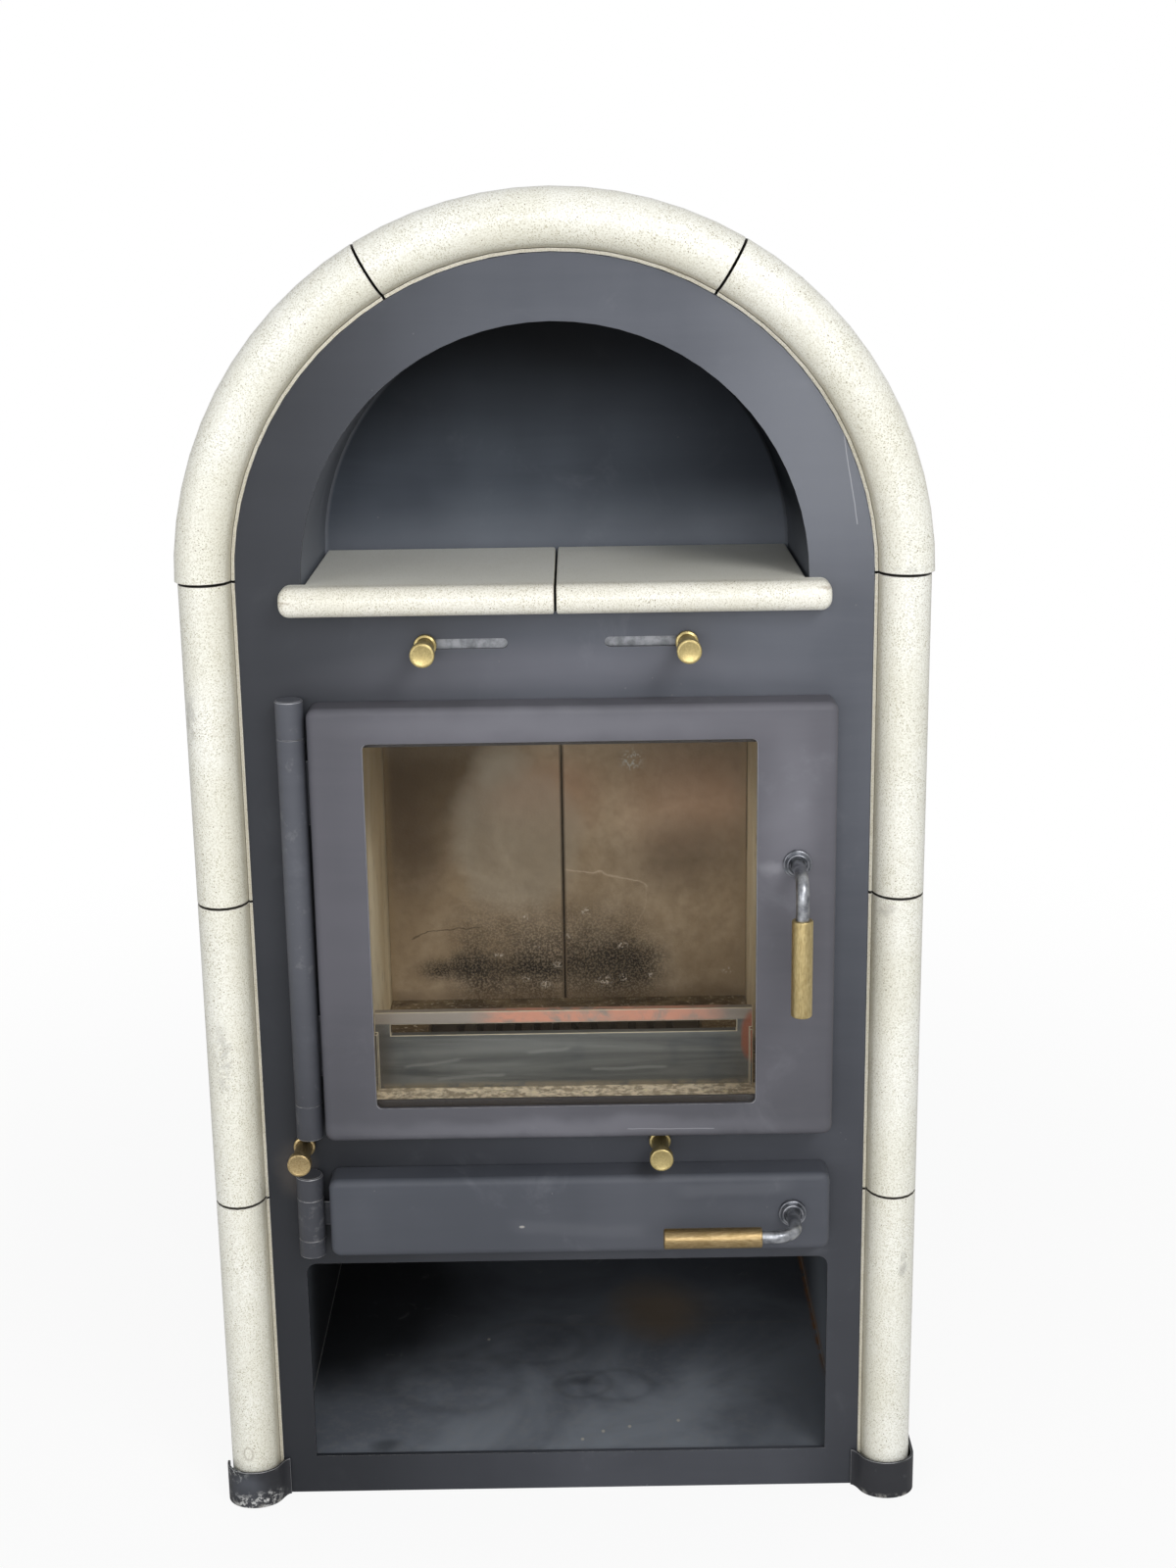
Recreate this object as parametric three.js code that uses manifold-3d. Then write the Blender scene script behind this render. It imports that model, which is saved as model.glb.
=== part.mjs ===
// A tiled wood stove: a steel stove body with an arched front plate, wrapped in nine glazed
// tiles. Millimetres, +Z up, +X to the right of someone facing the stove, +Y into the stove.
// The face of the front plate lies in the plane Y = 0, and the floor is Z = 0.
import * as THREE from "three";
import { mergeVertices } from "three/addons/utils/BufferGeometryUtils.js";
import Module from "manifold-3d";

const wasm = await Module();
wasm.setup();

// ---- Driving dimensions ------------------------------------------------------------------
const seat = 0.3; // gap between pieces that bear on each other
const weldOverlap = 1; // how far a welded piece reaches into what it is welded to

// Tiled cladding
const tileHeight = 297;
const tileJoint = 2.4;
const tileRows = 3;
const archTiles = 3;
const tileFoot = 22.2; // underside of the lowest tile
const archDrop = 3.2; // the arch's centre lies this far below the joint over the side tiles
const tileLipGap = 0.6; // between a tile's lip and the edge of the front plate
const tileLip = 3; // width of the flat lip beside the front plate
const tileLipSetback = 1;
const noseWidth = 48.4; // of a straight tile's rounded nose
const archNoseWidth = 51.4;
const noseReach = 22; // how far the rounded nose stands in front of the plate
const noseCentre = 6; // depth of the nose's widest line
const noseSteps = 10;
const noseReturn = 50; // depth at which the nose's inner return ends
const slabThickness = 28; // the tile's side wall behind the nose
const claddingBack = 436;
const archSegments = 72; // facets in a full turn

// Front plate and its openings
const plateHalfWidth = 285;
const plateThickness = 5;
const plateArcSteps = 48;
const nicheRadius = 227;
const nicheArcSteps = 36;
const mouthHalfWidth = 184;
const mouthBottom = 412;
const mouthTop = 790;
const mouthCorner = 6;
const ashMouthHalfWidth = 200;
const ashMouthBottom = 284;
const ashMouthTop = 344;
const storeHalfWidth = 253;
const storeBottom = 40;
const storeTop = 250.5;
const storeCorner = 10;

// Steel body
const sheet = 2;
const jacketInset = 1.6; // the body jacket stands this much inside the plate's edge
const basePlate = 4;
const basePlateInset = 0.5; // from the side of the tiles to the edge of the floor plate
const lobeSlope = 9; // how far each lobe of the floor plate narrows towards the front
const seatRailInset = 7; // the rails under the tiles stand back this far from the tile's faces
const rearPanelInset = 3; // from the side of the tiles to the edge of the rear panel
const ventCount = 6; // slots in the rear panel that let room air through the casing
const ventPitch = 60;
const ventLength = 40;
const ventHeight = 8;
const ventLevel = 300;
const flueHeight = 985;
const flueOuterRadius = 75;
const flueOverhang = 46; // how far the flue collar stands out behind the tiles
const flueFlange = 13;
const flueFlangeThickness = 3;
const flueHoleMargin = 9; // how much wider than the collar the hole in the rear panel is
const stripThickness = 2.5; // the foot collars
const stripHeight = 39;
const stripSideGap = 1; // between a foot collar and the side of the tile it holds
const stripFrontGap = 3.2;
const stripCentre = -5; // depth of the collar's widest line
const stripToeLap = 6; // how far a collar's toe laps onto the front plate
const stripEnd = { left: -3, right: 60 }; // depth at which each collar stops

// Warming niche and its shelf
const nicheDepth = 200;
const shelfThickness = 27;
const shelfReach = 28; // how far the shelf's rounded front stands before the plate
const shelfOverlap = 18.5; // how far the shelf's front runs past each side of the niche
const shelfSideGap = 3;
const shelfCorner = 12;

// Firebox
const fireboxWall = 4;
const fireboxFloor = 386; // underside of the firebox
const fireboxTop = 830;
const fireboxBack = 326;
const brick = 30;
const brickTop = 760;
const hearthThickness = 21.4;
const hearthSetback = 8; // from the front of the side bricks to the front of the hearth brick
const brickSeam = 1.6; // between the two back bricks
const brickStopDrop = 2; // the bar before the hearth brick stands this much below its top
const fireboxHalfWidth = 190.7; // half the space between the side bricks
const liningShift = 3.7; // the brick lining stands this far to the right of the middle
const baffleThickness = 25;
const baffleFront = 100;
const smokeBoxHalfWidth = 150;
const smokeBoxFront = 212;
const smokeBoxGap = 36; // between the smoke box and the back of the tiles
const smokeBoxTop = 1100;
const grateHalfWidth = 140;
const grateFront = 87;
const grateLength = 170;
const grateThickness = 14;
const grateSlots = 12;
const grateSlotWidth = 8;
const grateSlotPitch = 20;
const grateRim = 12;
const grateClearance = 2; // between the grate and the hearth brick round it
const riddleTravel = 25;
const grateHoleInset = 20; // the firebox floor carries the grate on a rim this wide
const guardEndGap = 1.5; // between each end of the guard and the line of the mouth's edge
const guardFront = 48;
const guardHeight = 78;
const guardThickness = 9;
const guardSlotBottom = 54.5; // above the guard's foot
const guardSlotHeight = 11;
const guardSlotEnd = 15.5; // from the end of the guard's slot to the end of the guard
const guardWingReach = 6; // the guard's ends are turned forwards by this much
const guardWingHeight = 58;
const guardWingThickness = 3;

// Ash compartment and wood store
const ashBoxMargin = 6; // the ash box is this much wider than its mouth, on each side
const ashBoxOverrun = 4; // how far the ash box reaches behind the firebox
const ashPanMargin = 15; // and the pan this much narrower
const ashPanFront = 10;
const ashPanLength = 290;
const ashPanHeight = 55;
const ashPanWall = 1.5;
const ashPanLip = 14;
const ashPanLipHalfWidth = 40;
const storeLinerMargin = 19.5; // the liner is this much wider than the opening, on each side
const storeLinerRise = 17.5; // and this much higher
const storeLinerWall = 1.5;
const storeFloorDrop = 3; // the store's floor lies this much below the opening's edge

// Doors
const doorFace = -34; // front of both doors
const doorBack = -2;
const doorSheet = 4;
const doorRound = 7; // radius of the pressed front edges
const doorRoundSteps = 5;
const doorCorner = 9;
const fireDoorLap = { left: 40.5, right: 67.5, bottom: 20, top: 19 }; // over its mouth
const ashDoorLap = { left: 24, right: 50.5, bottom: 10.5, top: 8.7 };
const windowInset = { left: 9.3, right: 5.2, bottom: 14, top: 13.4 }; // inside its mouth's edges
const windowCorner = 5;
const glassThickness = 4;
const glassOverlap = 4.9;
const retainerThickness = 3;
const retainerFoot = 6;
const retainerClearance = 1; // between the edge of the glass and a retainer's foot
const sealInset = 3.3; // from the mouth's edge to the rope seal
const sealWidth = 9.4;
const sealDepth = 13.6;
const sealRib = 2.5;

// Hinges
const hingeRadius = 12.75;
const hingeDepth = -17;
const hingePinRadius = 6;
const hingeBoreRadius = 6.4;
const hingePinLength = 28;
const hingePinGap = 2; // least half gap between the ends of a hinge's two pins
const hingeEndGap = 0.4;
const fireHingeOffset = 16; // from the door's left edge to the middle of the hinge
const fireKnuckle = { bottom: 35, top: 35, below: 1, above: 6 }; // lengths, and reach past the door
const ashHingeOffset = 19.2;
const ashKnuckle = { bottom: 18, top: 23, below: 3.5, above: 0.3 };
const hingeLeafThickness = 4;
const hingeLeafInset = 2; // how far a leaf stands back from the barrel's surfaces
const hingeSegments = 24;
const hingeCapRim = 1.2; // chamfer on the outer end of each knuckle
const hingeWeldHalfWidth = 5;
const hingeWeldInset = 2;
const leafInset = 54; // from each end of the fire door's barrel to the middle of a leaf
const fireLeafLength = 60;
const ashLeafLength = 24;

// Handles and latches
const spindleInset = 36; // from the right edge of each door
const fireHandleLevel = 660;
const fireGripOffset = 37; // from the spindle to the near end of the grip
const ashHandleLevel = 314.5;
const ashGripOffset = 33;
const rodRadius = 6;
const rodBend = 21;
const gripStandoff = 52; // from the door's face to the middle of the grip
const gripRadius = 9.5;
const gripLength = 91;
const gripChamfer = 1.5;
const rodInGrip = 24;
const bossRadius = 13;
const bossStep = 10.5;
const bossHeight = 8;
const latchThickness = 6;
const latchRear = -8;
const latchHub = 9;
const latchReach = 24;
const latchHalfHeight = 6;
const keeperGap = 2;
const keeperThickness = 4;
const keeperLip = 12;
const keeperRise = 17.5; // height of the keeper's lip above the plate
const keeperHalfHeight = 8;

// Air controls
const slotHeight = 9.5;
const stemClearance = 0.75; // between a stem and the edges of its slot
const slotLength = 78.5;
const slotOuterEnd = 122; // outer end of each upper slot, from the middle
const slotLevel = 860;
const slideHeight = 28;
const slideThickness = 2;
const slideOverrun = 32; // how far a slide reaches past its stem, outwards
const guideLip = 4;
const guideThickness = 2.5;
const guideHalfLength = 175;
const lowerRodLevel = 377;
const riddleRodX = -248;
const primaryRodX = 90.5;
const rodHoleClearance = 0.6;
const riddleRodBack = 150;
const armClearance = 2; // round the riddling rod's arm where it enters the ash box
const damperFoot = 26; // how far the primary air damper hangs below its rod
const damperHalfWidth = 35;
const damperHead = 7;
const damperLap = 4; // how far the damper covers the sheet round its air hole
const damperThickness = 3;

// Brass knobs, measured from the face of the plate
const knobBack = 3;
const knobFront = 51;
const knobRadius = 11;
const knobFlange = 10.3;
const knobNeck = 7.6;
const knobHead = 10;
const knobFoot = 6;
const knobChamfer = 1.2;
const knobBore = 18;
const smallSegments = 20;

// ---- Sizes that follow from the driving dimensions ----------------------------------------
const columnTop = tileFoot + tileRows * tileHeight + (tileRows - 1) * tileJoint;
const springHeight = columnTop + tileJoint / 2 - archDrop;
const tileInner = plateHalfWidth + tileLipGap;
const noseInner = tileInner + tileLip;
const straightTileOuter = noseInner + noseWidth; // from the middle of the stove
const archTileOuter = noseInner + archNoseWidth;
const rearPanelOuter = straightTileOuter - rearPanelInset;
const flueReach = claddingBack + flueOverhang;
const behindPlate = plateThickness + seat;
const jacketOuter = plateHalfWidth - jacketInset;
const shelfTop = springHeight;
const shelfBottom = shelfTop - shelfThickness;
const nicheLinerInner = nicheRadius + seat;
const shelfHalfWidth = nicheRadius + shelfOverlap;
const fireboxInner = fireboxHalfWidth + liningShift + brick + 2 * seat;
const fireboxOuter = fireboxInner + fireboxWall;
const smokeBoxBack = claddingBack - smokeBoxGap;
const hearthBottom = fireboxFloor + fireboxWall + seat;
const hearthTop = hearthBottom + hearthThickness;
const brickFront = behindPlate + 2.7;
const hearthFront = brickFront + hearthSetback;
const backBrickFront = fireboxBack - fireboxWall - 2 * seat - brick;
const guardHalfWidth = mouthHalfWidth - guardEndGap;
const guardSlotHalfWidth = guardHalfWidth - guardSlotEnd;
const ashBoxHalfWidth = ashMouthHalfWidth + ashBoxMargin;
const ashBoxBack = fireboxBack + ashBoxOverrun;
const ashPanHalfWidth = ashMouthHalfWidth - ashPanMargin;
const storeLinerHalfWidth = storeHalfWidth + storeLinerMargin;
const storeLinerTop = storeTop + storeLinerRise;
const storeFloor = storeBottom - storeFloorDrop;
const fireDoor = {
  left: -mouthHalfWidth - fireDoorLap.left,
  right: mouthHalfWidth + fireDoorLap.right,
  bottom: mouthBottom - fireDoorLap.bottom,
  top: mouthTop + fireDoorLap.top,
};
const ashDoor = {
  left: -ashMouthHalfWidth - ashDoorLap.left,
  right: ashMouthHalfWidth + ashDoorLap.right,
  bottom: ashMouthBottom - ashDoorLap.bottom,
  top: ashMouthTop + ashDoorLap.top,
};
const windowPane = {
  left: windowInset.left - mouthHalfWidth,
  right: mouthHalfWidth - windowInset.right,
  bottom: mouthBottom + windowInset.bottom,
  top: mouthTop - windowInset.top,
};
const fireHinge = hingeLine(fireDoor, fireHingeOffset, fireKnuckle);
const ashHinge = hingeLine(ashDoor, ashHingeOffset, ashKnuckle);
const fireLeaves = {
  heights: [fireHinge.barrelBottom + leafInset, fireHinge.barrelTop - leafInset],
  length: fireLeafLength,
};
const ashLeaves = {
  heights: [(ashHinge.barrelBottom + ashHinge.barrelTop) / 2],
  length: ashLeafLength,
};
const fireHandle = { x: fireDoor.right - spindleInset, z: fireHandleLevel, offset: fireGripOffset };
const ashHandle = { x: ashDoor.right - spindleInset, z: ashHandleLevel, offset: ashGripOffset };
const bandHalfHeight = (mouthTop - mouthBottom) / 2;
const mouthMiddle = (mouthTop + mouthBottom) / 2;
const sealHalfWidth = mouthHalfWidth + sealInset;
const sealHalfHeight = bandHalfHeight + sealInset;
const slotInnerEnd = slotOuterEnd - slotLength;
const stemRadius = slotHeight / 2 - stemClearance;
const stemRest = slotOuterEnd - slotHeight / 2;
const grateBack = grateFront + grateLength;
const gripDepth = doorFace - gripStandoff;

// ---- Materials ----------------------------------------------------------------------------
const paint = (color, roughness, metalness) =>
  new THREE.MeshStandardMaterial({ color, roughness, metalness });
const anthracite = paint(0x4c4c54, 0.5, 0.4);
const doorPaint = paint(0x52525b, 0.45, 0.4);
const innerSteel = paint(0x34353a, 0.6, 0.5);
const glaze = paint(0xe6e2d6, 0.25, 0);
const brass = paint(0xb59b5e, 0.35, 0.9);
const gunmetal = paint(0x6d7175, 0.35, 0.85);
const firebrick = paint(0x8d7b64, 0.95, 0);
const castIron = paint(0x2c2b2b, 0.8, 0.4);
const heatSteel = paint(0x5d5a58, 0.4, 0.8);
const glassPane = paint(0x8f8a80, 0.05, 0);
const rope = paint(0x8b8982, 1, 0);
const galvanised = paint(0x85888b, 0.5, 0.7);

// ---- Solids -------------------------------------------------------------------------------
const stove = new THREE.Group();

function solid(geometry) {
  const bare = geometry.clone();
  bare.deleteAttribute("normal");
  bare.deleteAttribute("uv");
  const merged = mergeVertices(bare, 1e-4);
  const corners = merged.index.array;
  const kept = [];
  for (let i = 0; i < corners.length; i += 3) {
    const [a, b, c] = [corners[i], corners[i + 1], corners[i + 2]];
    if (a !== b && b !== c && a !== c) kept.push(a, b, c);
  }
  const vertProperties = new Float32Array(merged.attributes.position.array);
  const triVerts = new Uint32Array(kept);
  return new wasm.Manifold(new wasm.Mesh({ numProp: 3, vertProperties, triVerts }));
}

function geometryOf(body) {
  const mesh = body.getMesh();
  const places = new Float32Array(mesh.numVert * 3);
  for (let i = 0; i < mesh.numVert; i++) {
    const start = i * mesh.numProp;
    places.set(mesh.vertProperties.subarray(start, start + 3), i * 3);
  }
  const geometry = new THREE.BufferGeometry();
  geometry.setAttribute("position", new THREE.BufferAttribute(places, 3));
  geometry.setIndex(new THREE.BufferAttribute(new Uint32Array(mesh.triVerts), 1));
  return geometry;
}

// Adds a piece to the stove, at its place.
function place(name, shape, material, x = 0, y = 0, z = 0) {
  const geometry = shape.isBufferGeometry ? shape : geometryOf(shape);
  const mesh = new THREE.Mesh(geometry, material);
  mesh.name = name;
  mesh.position.set(x, y, z);
  stove.add(mesh);
  return mesh;
}

function block(x0, x1, y0, y1, z0, z1) {
  const geometry = new THREE.BoxGeometry(x1 - x0, y1 - y0, z1 - z0);
  geometry.translate((x0 + x1) / 2, (y0 + y1) / 2, (z0 + z1) / 2);
  return solid(geometry);
}

// Points along an arc of the plane, from one angle to another, in degrees.
function arc(cx, cy, radius, from, to, steps) {
  const points = [];
  for (let i = 0; i <= steps; i++) {
    const angle = THREE.MathUtils.degToRad(from + ((to - from) * i) / steps);
    points.push(new THREE.Vector2(cx + radius * Math.cos(angle), cy + radius * Math.sin(angle)));
  }
  return points;
}

function corners(...pairs) {
  return pairs.map(([a, b]) => new THREE.Vector2(a, b));
}

function roundedRectangle(x0, x1, z0, z1, radius, steps = 4) {
  return [
    ...arc(x1 - radius, z0 + radius, radius, -90, 0, steps),
    ...arc(x1 - radius, z1 - radius, radius, 0, 90, steps),
    ...arc(x0 + radius, z1 - radius, radius, 90, 180, steps),
    ...arc(x0 + radius, z0 + radius, radius, 180, 270, steps),
  ];
}

const rectangle = (x0, x1, z0, z1) => corners([x0, z0], [x1, z0], [x1, z1], [x0, z1]);

// An outline of the XZ plane, with holes, as a plate from y0 to y1.
function plate(outline, y0, y1, holes = []) {
  const shape = new THREE.Shape(outline);
  shape.holes = holes.map((hole) => new THREE.Path(hole));
  const geometry = new THREE.ExtrudeGeometry(shape, { depth: y1 - y0, bevelEnabled: false });
  geometry.rotateX(Math.PI / 2);
  geometry.translate(0, y1, 0);
  return geometry;
}

// An outline of the XY plane, raised from z0 to z1.
function slab(outline, z0, z1, holes = []) {
  const shape = new THREE.Shape(outline);
  shape.holes = holes.map((hole) => new THREE.Path(hole));
  const geometry = new THREE.ExtrudeGeometry(shape, { depth: z1 - z0, bevelEnabled: false });
  geometry.translate(0, 0, z0);
  return geometry;
}

// An outline of the YZ plane, drawn out along X from x0 to x1.
function bar(outline, x0, x1) {
  const geometry = new THREE.ExtrudeGeometry(new THREE.Shape(outline), {
    depth: x1 - x0,
    bevelEnabled: false,
  });
  geometry.rotateX(Math.PI / 2);
  geometry.rotateZ(Math.PI / 2);
  geometry.translate(x0, 0, 0);
  return geometry;
}

// A closed profile of radius and height, turned round the Y axis.
function turned(profile, segments) {
  const area = THREE.ShapeUtils.area(profile);
  const points = area < 0 ? [...profile].reverse() : [...profile];
  return new THREE.LatheGeometry([...points, points[0].clone()], segments);
}

// A round rod along Y.
function rodAlongY(radius, y0, y1, segments = smallSegments) {
  return turned(corners([0, y0], [radius, y0], [radius, y1], [0, y1]), segments);
}

// The outline of an arched opening or wall: straight sides with a half circle on top.
function arched(halfWidth, bottom, spring, steps) {
  return [
    new THREE.Vector2(-halfWidth, bottom),
    new THREE.Vector2(halfWidth, bottom),
    ...arc(0, spring, halfWidth, 0, 180, steps),
  ];
}

// ---- Tiled cladding -----------------------------------------------------------------------

// The tile's section: distance from the stove's middle, and depth. A rounded nose in front,
// an inner return behind it, and a side wall that runs back to the rear panel.
function tileSection(outer) {
  const middle = (noseInner + outer) / 2;
  const halfWidth = (outer - noseInner) / 2;
  const reach = noseCentre + noseReach;
  const nose = arc(0, 0, 1, 180, 360, noseSteps).map(
    (p) => new THREE.Vector2(middle + halfWidth * p.x, noseCentre + reach * p.y),
  );
  return [
    ...corners([tileInner, noseReturn], [tileInner, tileLipSetback], [noseInner, tileLipSetback]),
    ...nose,
    ...corners(
      [outer, claddingBack],
      [outer - slabThickness, claddingBack],
      [outer - slabThickness, noseReturn],
    ),
  ];
}

function addSideTiles() {
  const rows = ["lower", "middle", "upper"];
  for (const [side, sign] of [["left", -1], ["right", 1]]) {
    const section = tileSection(straightTileOuter).map((p) => new THREE.Vector2(sign * p.x, p.y));
    rows.forEach((row, i) => {
      const foot = tileFoot + i * (tileHeight + tileJoint);
      place(`side_tile_${side}_${row}`, slab(section, 0, tileHeight), glaze, 0, 0, foot);
    });
  }
}

function addArchTiles() {
  const ring = solid(turned(tileSection(archTileOuter), archSegments));
  const share = 180 / archTiles;
  const clear = 2 * archTileOuter;
  const names = ["right", "top", "left"];
  const archFoot = archDrop + tileJoint / 2;
  const underArch = block(-clear, clear, -clear, clear, -clear, archFoot);
  names.forEach((name, i) => {
    const middle = THREE.MathUtils.degToRad((i + 0.5) * share);
    const half = THREE.MathUtils.degToRad(share / 2);
    const apex = tileJoint / 2 / Math.sin(half); // half a joint is left free at each end
    const x = apex * Math.cos(middle);
    const z = apex * Math.sin(middle);
    const sector = [new THREE.Vector2(x, z)];
    for (const turn of [-half, 0, half]) {
      const angle = middle + turn;
      sector.push(new THREE.Vector2(x + clear * Math.cos(angle), z + clear * Math.sin(angle)));
    }
    const wedge = solid(plate(sector, -2 * noseReach, claddingBack + noseReach));
    const tile = ring.intersect(wedge).subtract(underArch);
    place(`arch_tile_${name}`, tile, glaze, 0, 0, springHeight);
  });
}

// ---- Steel body ---------------------------------------------------------------------------

function slotOutline(side) {
  const radius = slotHeight / 2;
  const [x0, x1] = [slotInnerEnd, slotOuterEnd].map((x) => side * x).sort((a, b) => a - b);
  return roundedRectangle(x0, x1, slotLevel - radius, slotLevel + radius, radius - 0.01, 5);
}

// A hook that stands on the front plate, beside a latch, and holds the latch's tongue.
function keeper(handle) {
  const legLeft = handle.x + latchReach + keeperGap;
  const legRight = legLeft + keeperThickness;
  const low = handle.z - keeperHalfHeight;
  const high = handle.z + keeperHalfHeight;
  const lipBack = -keeperRise;
  const leg = block(legLeft, legRight, lipBack - weldOverlap, weldOverlap, low, high);
  const lip = block(legRight - keeperLip, legRight, lipBack - keeperThickness, lipBack, low, high);
  return leg.add(lip);
}

// The two bent rails behind the plate in which the upper air slides run.
function slideGuide(side) {
  const edge = slotLevel + side * (slideHeight / 2 + seat);
  const far = edge + side * guideThickness;
  const lipEdge = edge - side * guideLip;
  const back = plateThickness + 2 * slideThickness + 4 * seat;
  const [z0, z1] = [edge, far].sort((a, b) => a - b);
  const [lip0, lip1] = [lipEdge, far].sort((a, b) => a - b);
  const web = block(-guideHalfLength, guideHalfLength, plateThickness - weldOverlap, back, z0, z1);
  const lipBack = back + guideThickness;
  return web.add(block(-guideHalfLength, guideHalfLength, back - 0.1, lipBack, lip0, lip1));
}

function addFrontPlate() {
  const rodHole = stemRadius + rodHoleClearance;
  const store = [
    new THREE.Vector2(-storeHalfWidth, storeBottom),
    new THREE.Vector2(storeHalfWidth, storeBottom),
    ...arc(storeHalfWidth - storeCorner, storeTop - storeCorner, storeCorner, 0, 90, 5),
    ...arc(storeCorner - storeHalfWidth, storeTop - storeCorner, storeCorner, 90, 180, 5),
  ];
  const holes = [
    arched(nicheRadius, shelfBottom - seat, springHeight, nicheArcSteps),
    slotOutline(-1),
    slotOutline(1),
    roundedRectangle(-mouthHalfWidth, mouthHalfWidth, mouthBottom, mouthTop, mouthCorner, 3),
    arc(riddleRodX, lowerRodLevel, rodHole, 0, 330, 11),
    arc(primaryRodX, lowerRodLevel, rodHole, 0, 330, 11),
    rectangle(-ashMouthHalfWidth, ashMouthHalfWidth, ashMouthBottom, ashMouthTop),
    store,
  ];
  const outline = arched(plateHalfWidth, 0, springHeight, plateArcSteps);
  const face = solid(plate(outline, 0, plateThickness, holes));
  const welded = [keeper(fireHandle), keeper(ashHandle), slideGuide(-1), slideGuide(1)];
  const whole = welded.reduce((body, piece) => body.add(piece), face);
  place("front_plate", whole, anthracite);
}

function addJacket() {
  const outline = [
    ...arched(jacketOuter, basePlate + seat, springHeight, plateArcSteps).slice(1),
    new THREE.Vector2(-jacketOuter, basePlate + seat),
    new THREE.Vector2(sheet - jacketOuter, basePlate + seat),
    ...arc(0, springHeight, jacketOuter - sheet, 180, 0, plateArcSteps),
    new THREE.Vector2(jacketOuter - sheet, basePlate + seat),
  ];
  place("body_jacket", plate(outline, behindPlate, claddingBack), innerSteel);
}

// The floor plate, with a lobe under each nose and a welded rail under each row of tiles.
function addBasePlate() {
  const edge = straightTileOuter - basePlateInset;
  const front = -noseReach / 2;
  const lobe = plateHalfWidth + tileLipGap;
  const half = [
    [lobe, behindPlate], [lobe + lobeSlope, front], [edge - lobeSlope, front],
    [edge, noseCentre], [edge, claddingBack],
  ];
  const mirrored = half.map(([x, y]) => [-x, y]).reverse();
  const outline = corners(...mirrored, ...half);
  let body = solid(slab(outline, 0, basePlate));
  const railInner = tileInner + seatRailInset;
  const railOuter = straightTileOuter - seatRailInset;
  for (const [x0, x1] of [[railInner, railOuter], [-railOuter, -railInner]]) {
    const back = claddingBack - seatRailInset;
    body = body.add(block(x0, x1, behindPlate, back, basePlate - weldOverlap, tileFoot - seat));
  }
  place("base_plate", body, innerSteel);
}

// A flat steel strip bent round the foot of a tile column: its toe lies on the front plate,
// it swings round the nose of the tile and stops beside it, at the given depth.
function footCollarLine(end) {
  const middle = (noseInner + straightTileOuter) / 2;
  const halfWidth = (straightTileOuter - noseInner) / 2 + stripSideGap + stripThickness / 2;
  const reach = noseReach + stripCentre + stripFrontGap + stripThickness / 2;
  const onPlate = -stripThickness / 2 - seat;
  const round = arc(0, 0, 1, 200, 360, 16).map(
    (p) => new THREE.Vector2(middle + halfWidth * p.x, stripCentre + reach * p.y),
  );
  const toe = new THREE.Vector2(plateHalfWidth - stripToeLap, onPlate);
  const knee = new THREE.Vector2((toe.x + round[0].x) / 2, onPlate);
  const bend = new THREE.QuadraticBezierCurve(toe, knee, round[0]);
  return [...bend.getPoints(6), ...round.slice(1), new THREE.Vector2(middle + halfWidth, end)];
}

// The outline of a strip of even thickness along a line of points.
function stripOutline(line, thickness) {
  const sides = [[], []];
  line.forEach((point, i) => {
    const before = line[Math.max(i - 1, 0)];
    const after = line[Math.min(i + 1, line.length - 1)];
    const along = after.clone().sub(before).normalize();
    const across = new THREE.Vector2(-along.y, along.x).multiplyScalar(thickness / 2);
    sides[0].push(point.clone().add(across));
    sides[1].unshift(point.clone().sub(across));
  });
  return [...sides[0], ...sides[1]];
}

function addFootCollars() {
  for (const [side, sign] of [["left", -1], ["right", 1]]) {
    const line = footCollarLine(stripEnd[side]).map((p) => new THREE.Vector2(sign * p.x, p.y));
    const outline = stripOutline(line, stripThickness);
    place(`foot_collar_${side}`, slab(outline, 0, stripHeight), anthracite);
  }
}

function addRearPanel() {
  const flueHole = arc(0, flueHeight, flueOuterRadius + flueHoleMargin, 0, 350, 35);
  const outline = arched(rearPanelOuter, 0, springHeight, plateArcSteps);
  const front = claddingBack + seat;
  let panel = solid(plate(outline, front, front + sheet, [flueHole]));
  for (let i = 0; i < ventCount; i++) {
    const x = (i - (ventCount - 1) / 2) * ventPitch;
    const half = ventLength / 2;
    panel = panel.subtract(
      block(x - half, x + half, front - 1, front + sheet + 1, ventLevel, ventLevel + ventHeight),
    );
  }
  place("rear_panel", panel, galvanised);
}

// ---- Warming niche ------------------------------------------------------------------------

function addNiche() {
  const floor = shelfBottom - seat;
  const outer = nicheLinerInner + sheet;
  const back = behindPlate + nicheDepth;
  const outside = arched(outer, floor - sheet, springHeight, nicheArcSteps);
  const skin = solid(plate(outside, behindPlate, back));
  const inside = arched(nicheLinerInner, floor, springHeight, nicheArcSteps);
  const hollow = solid(plate(inside, 0, back - sheet));
  place("niche_liner", skin.subtract(hollow), innerSteel);
}

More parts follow.
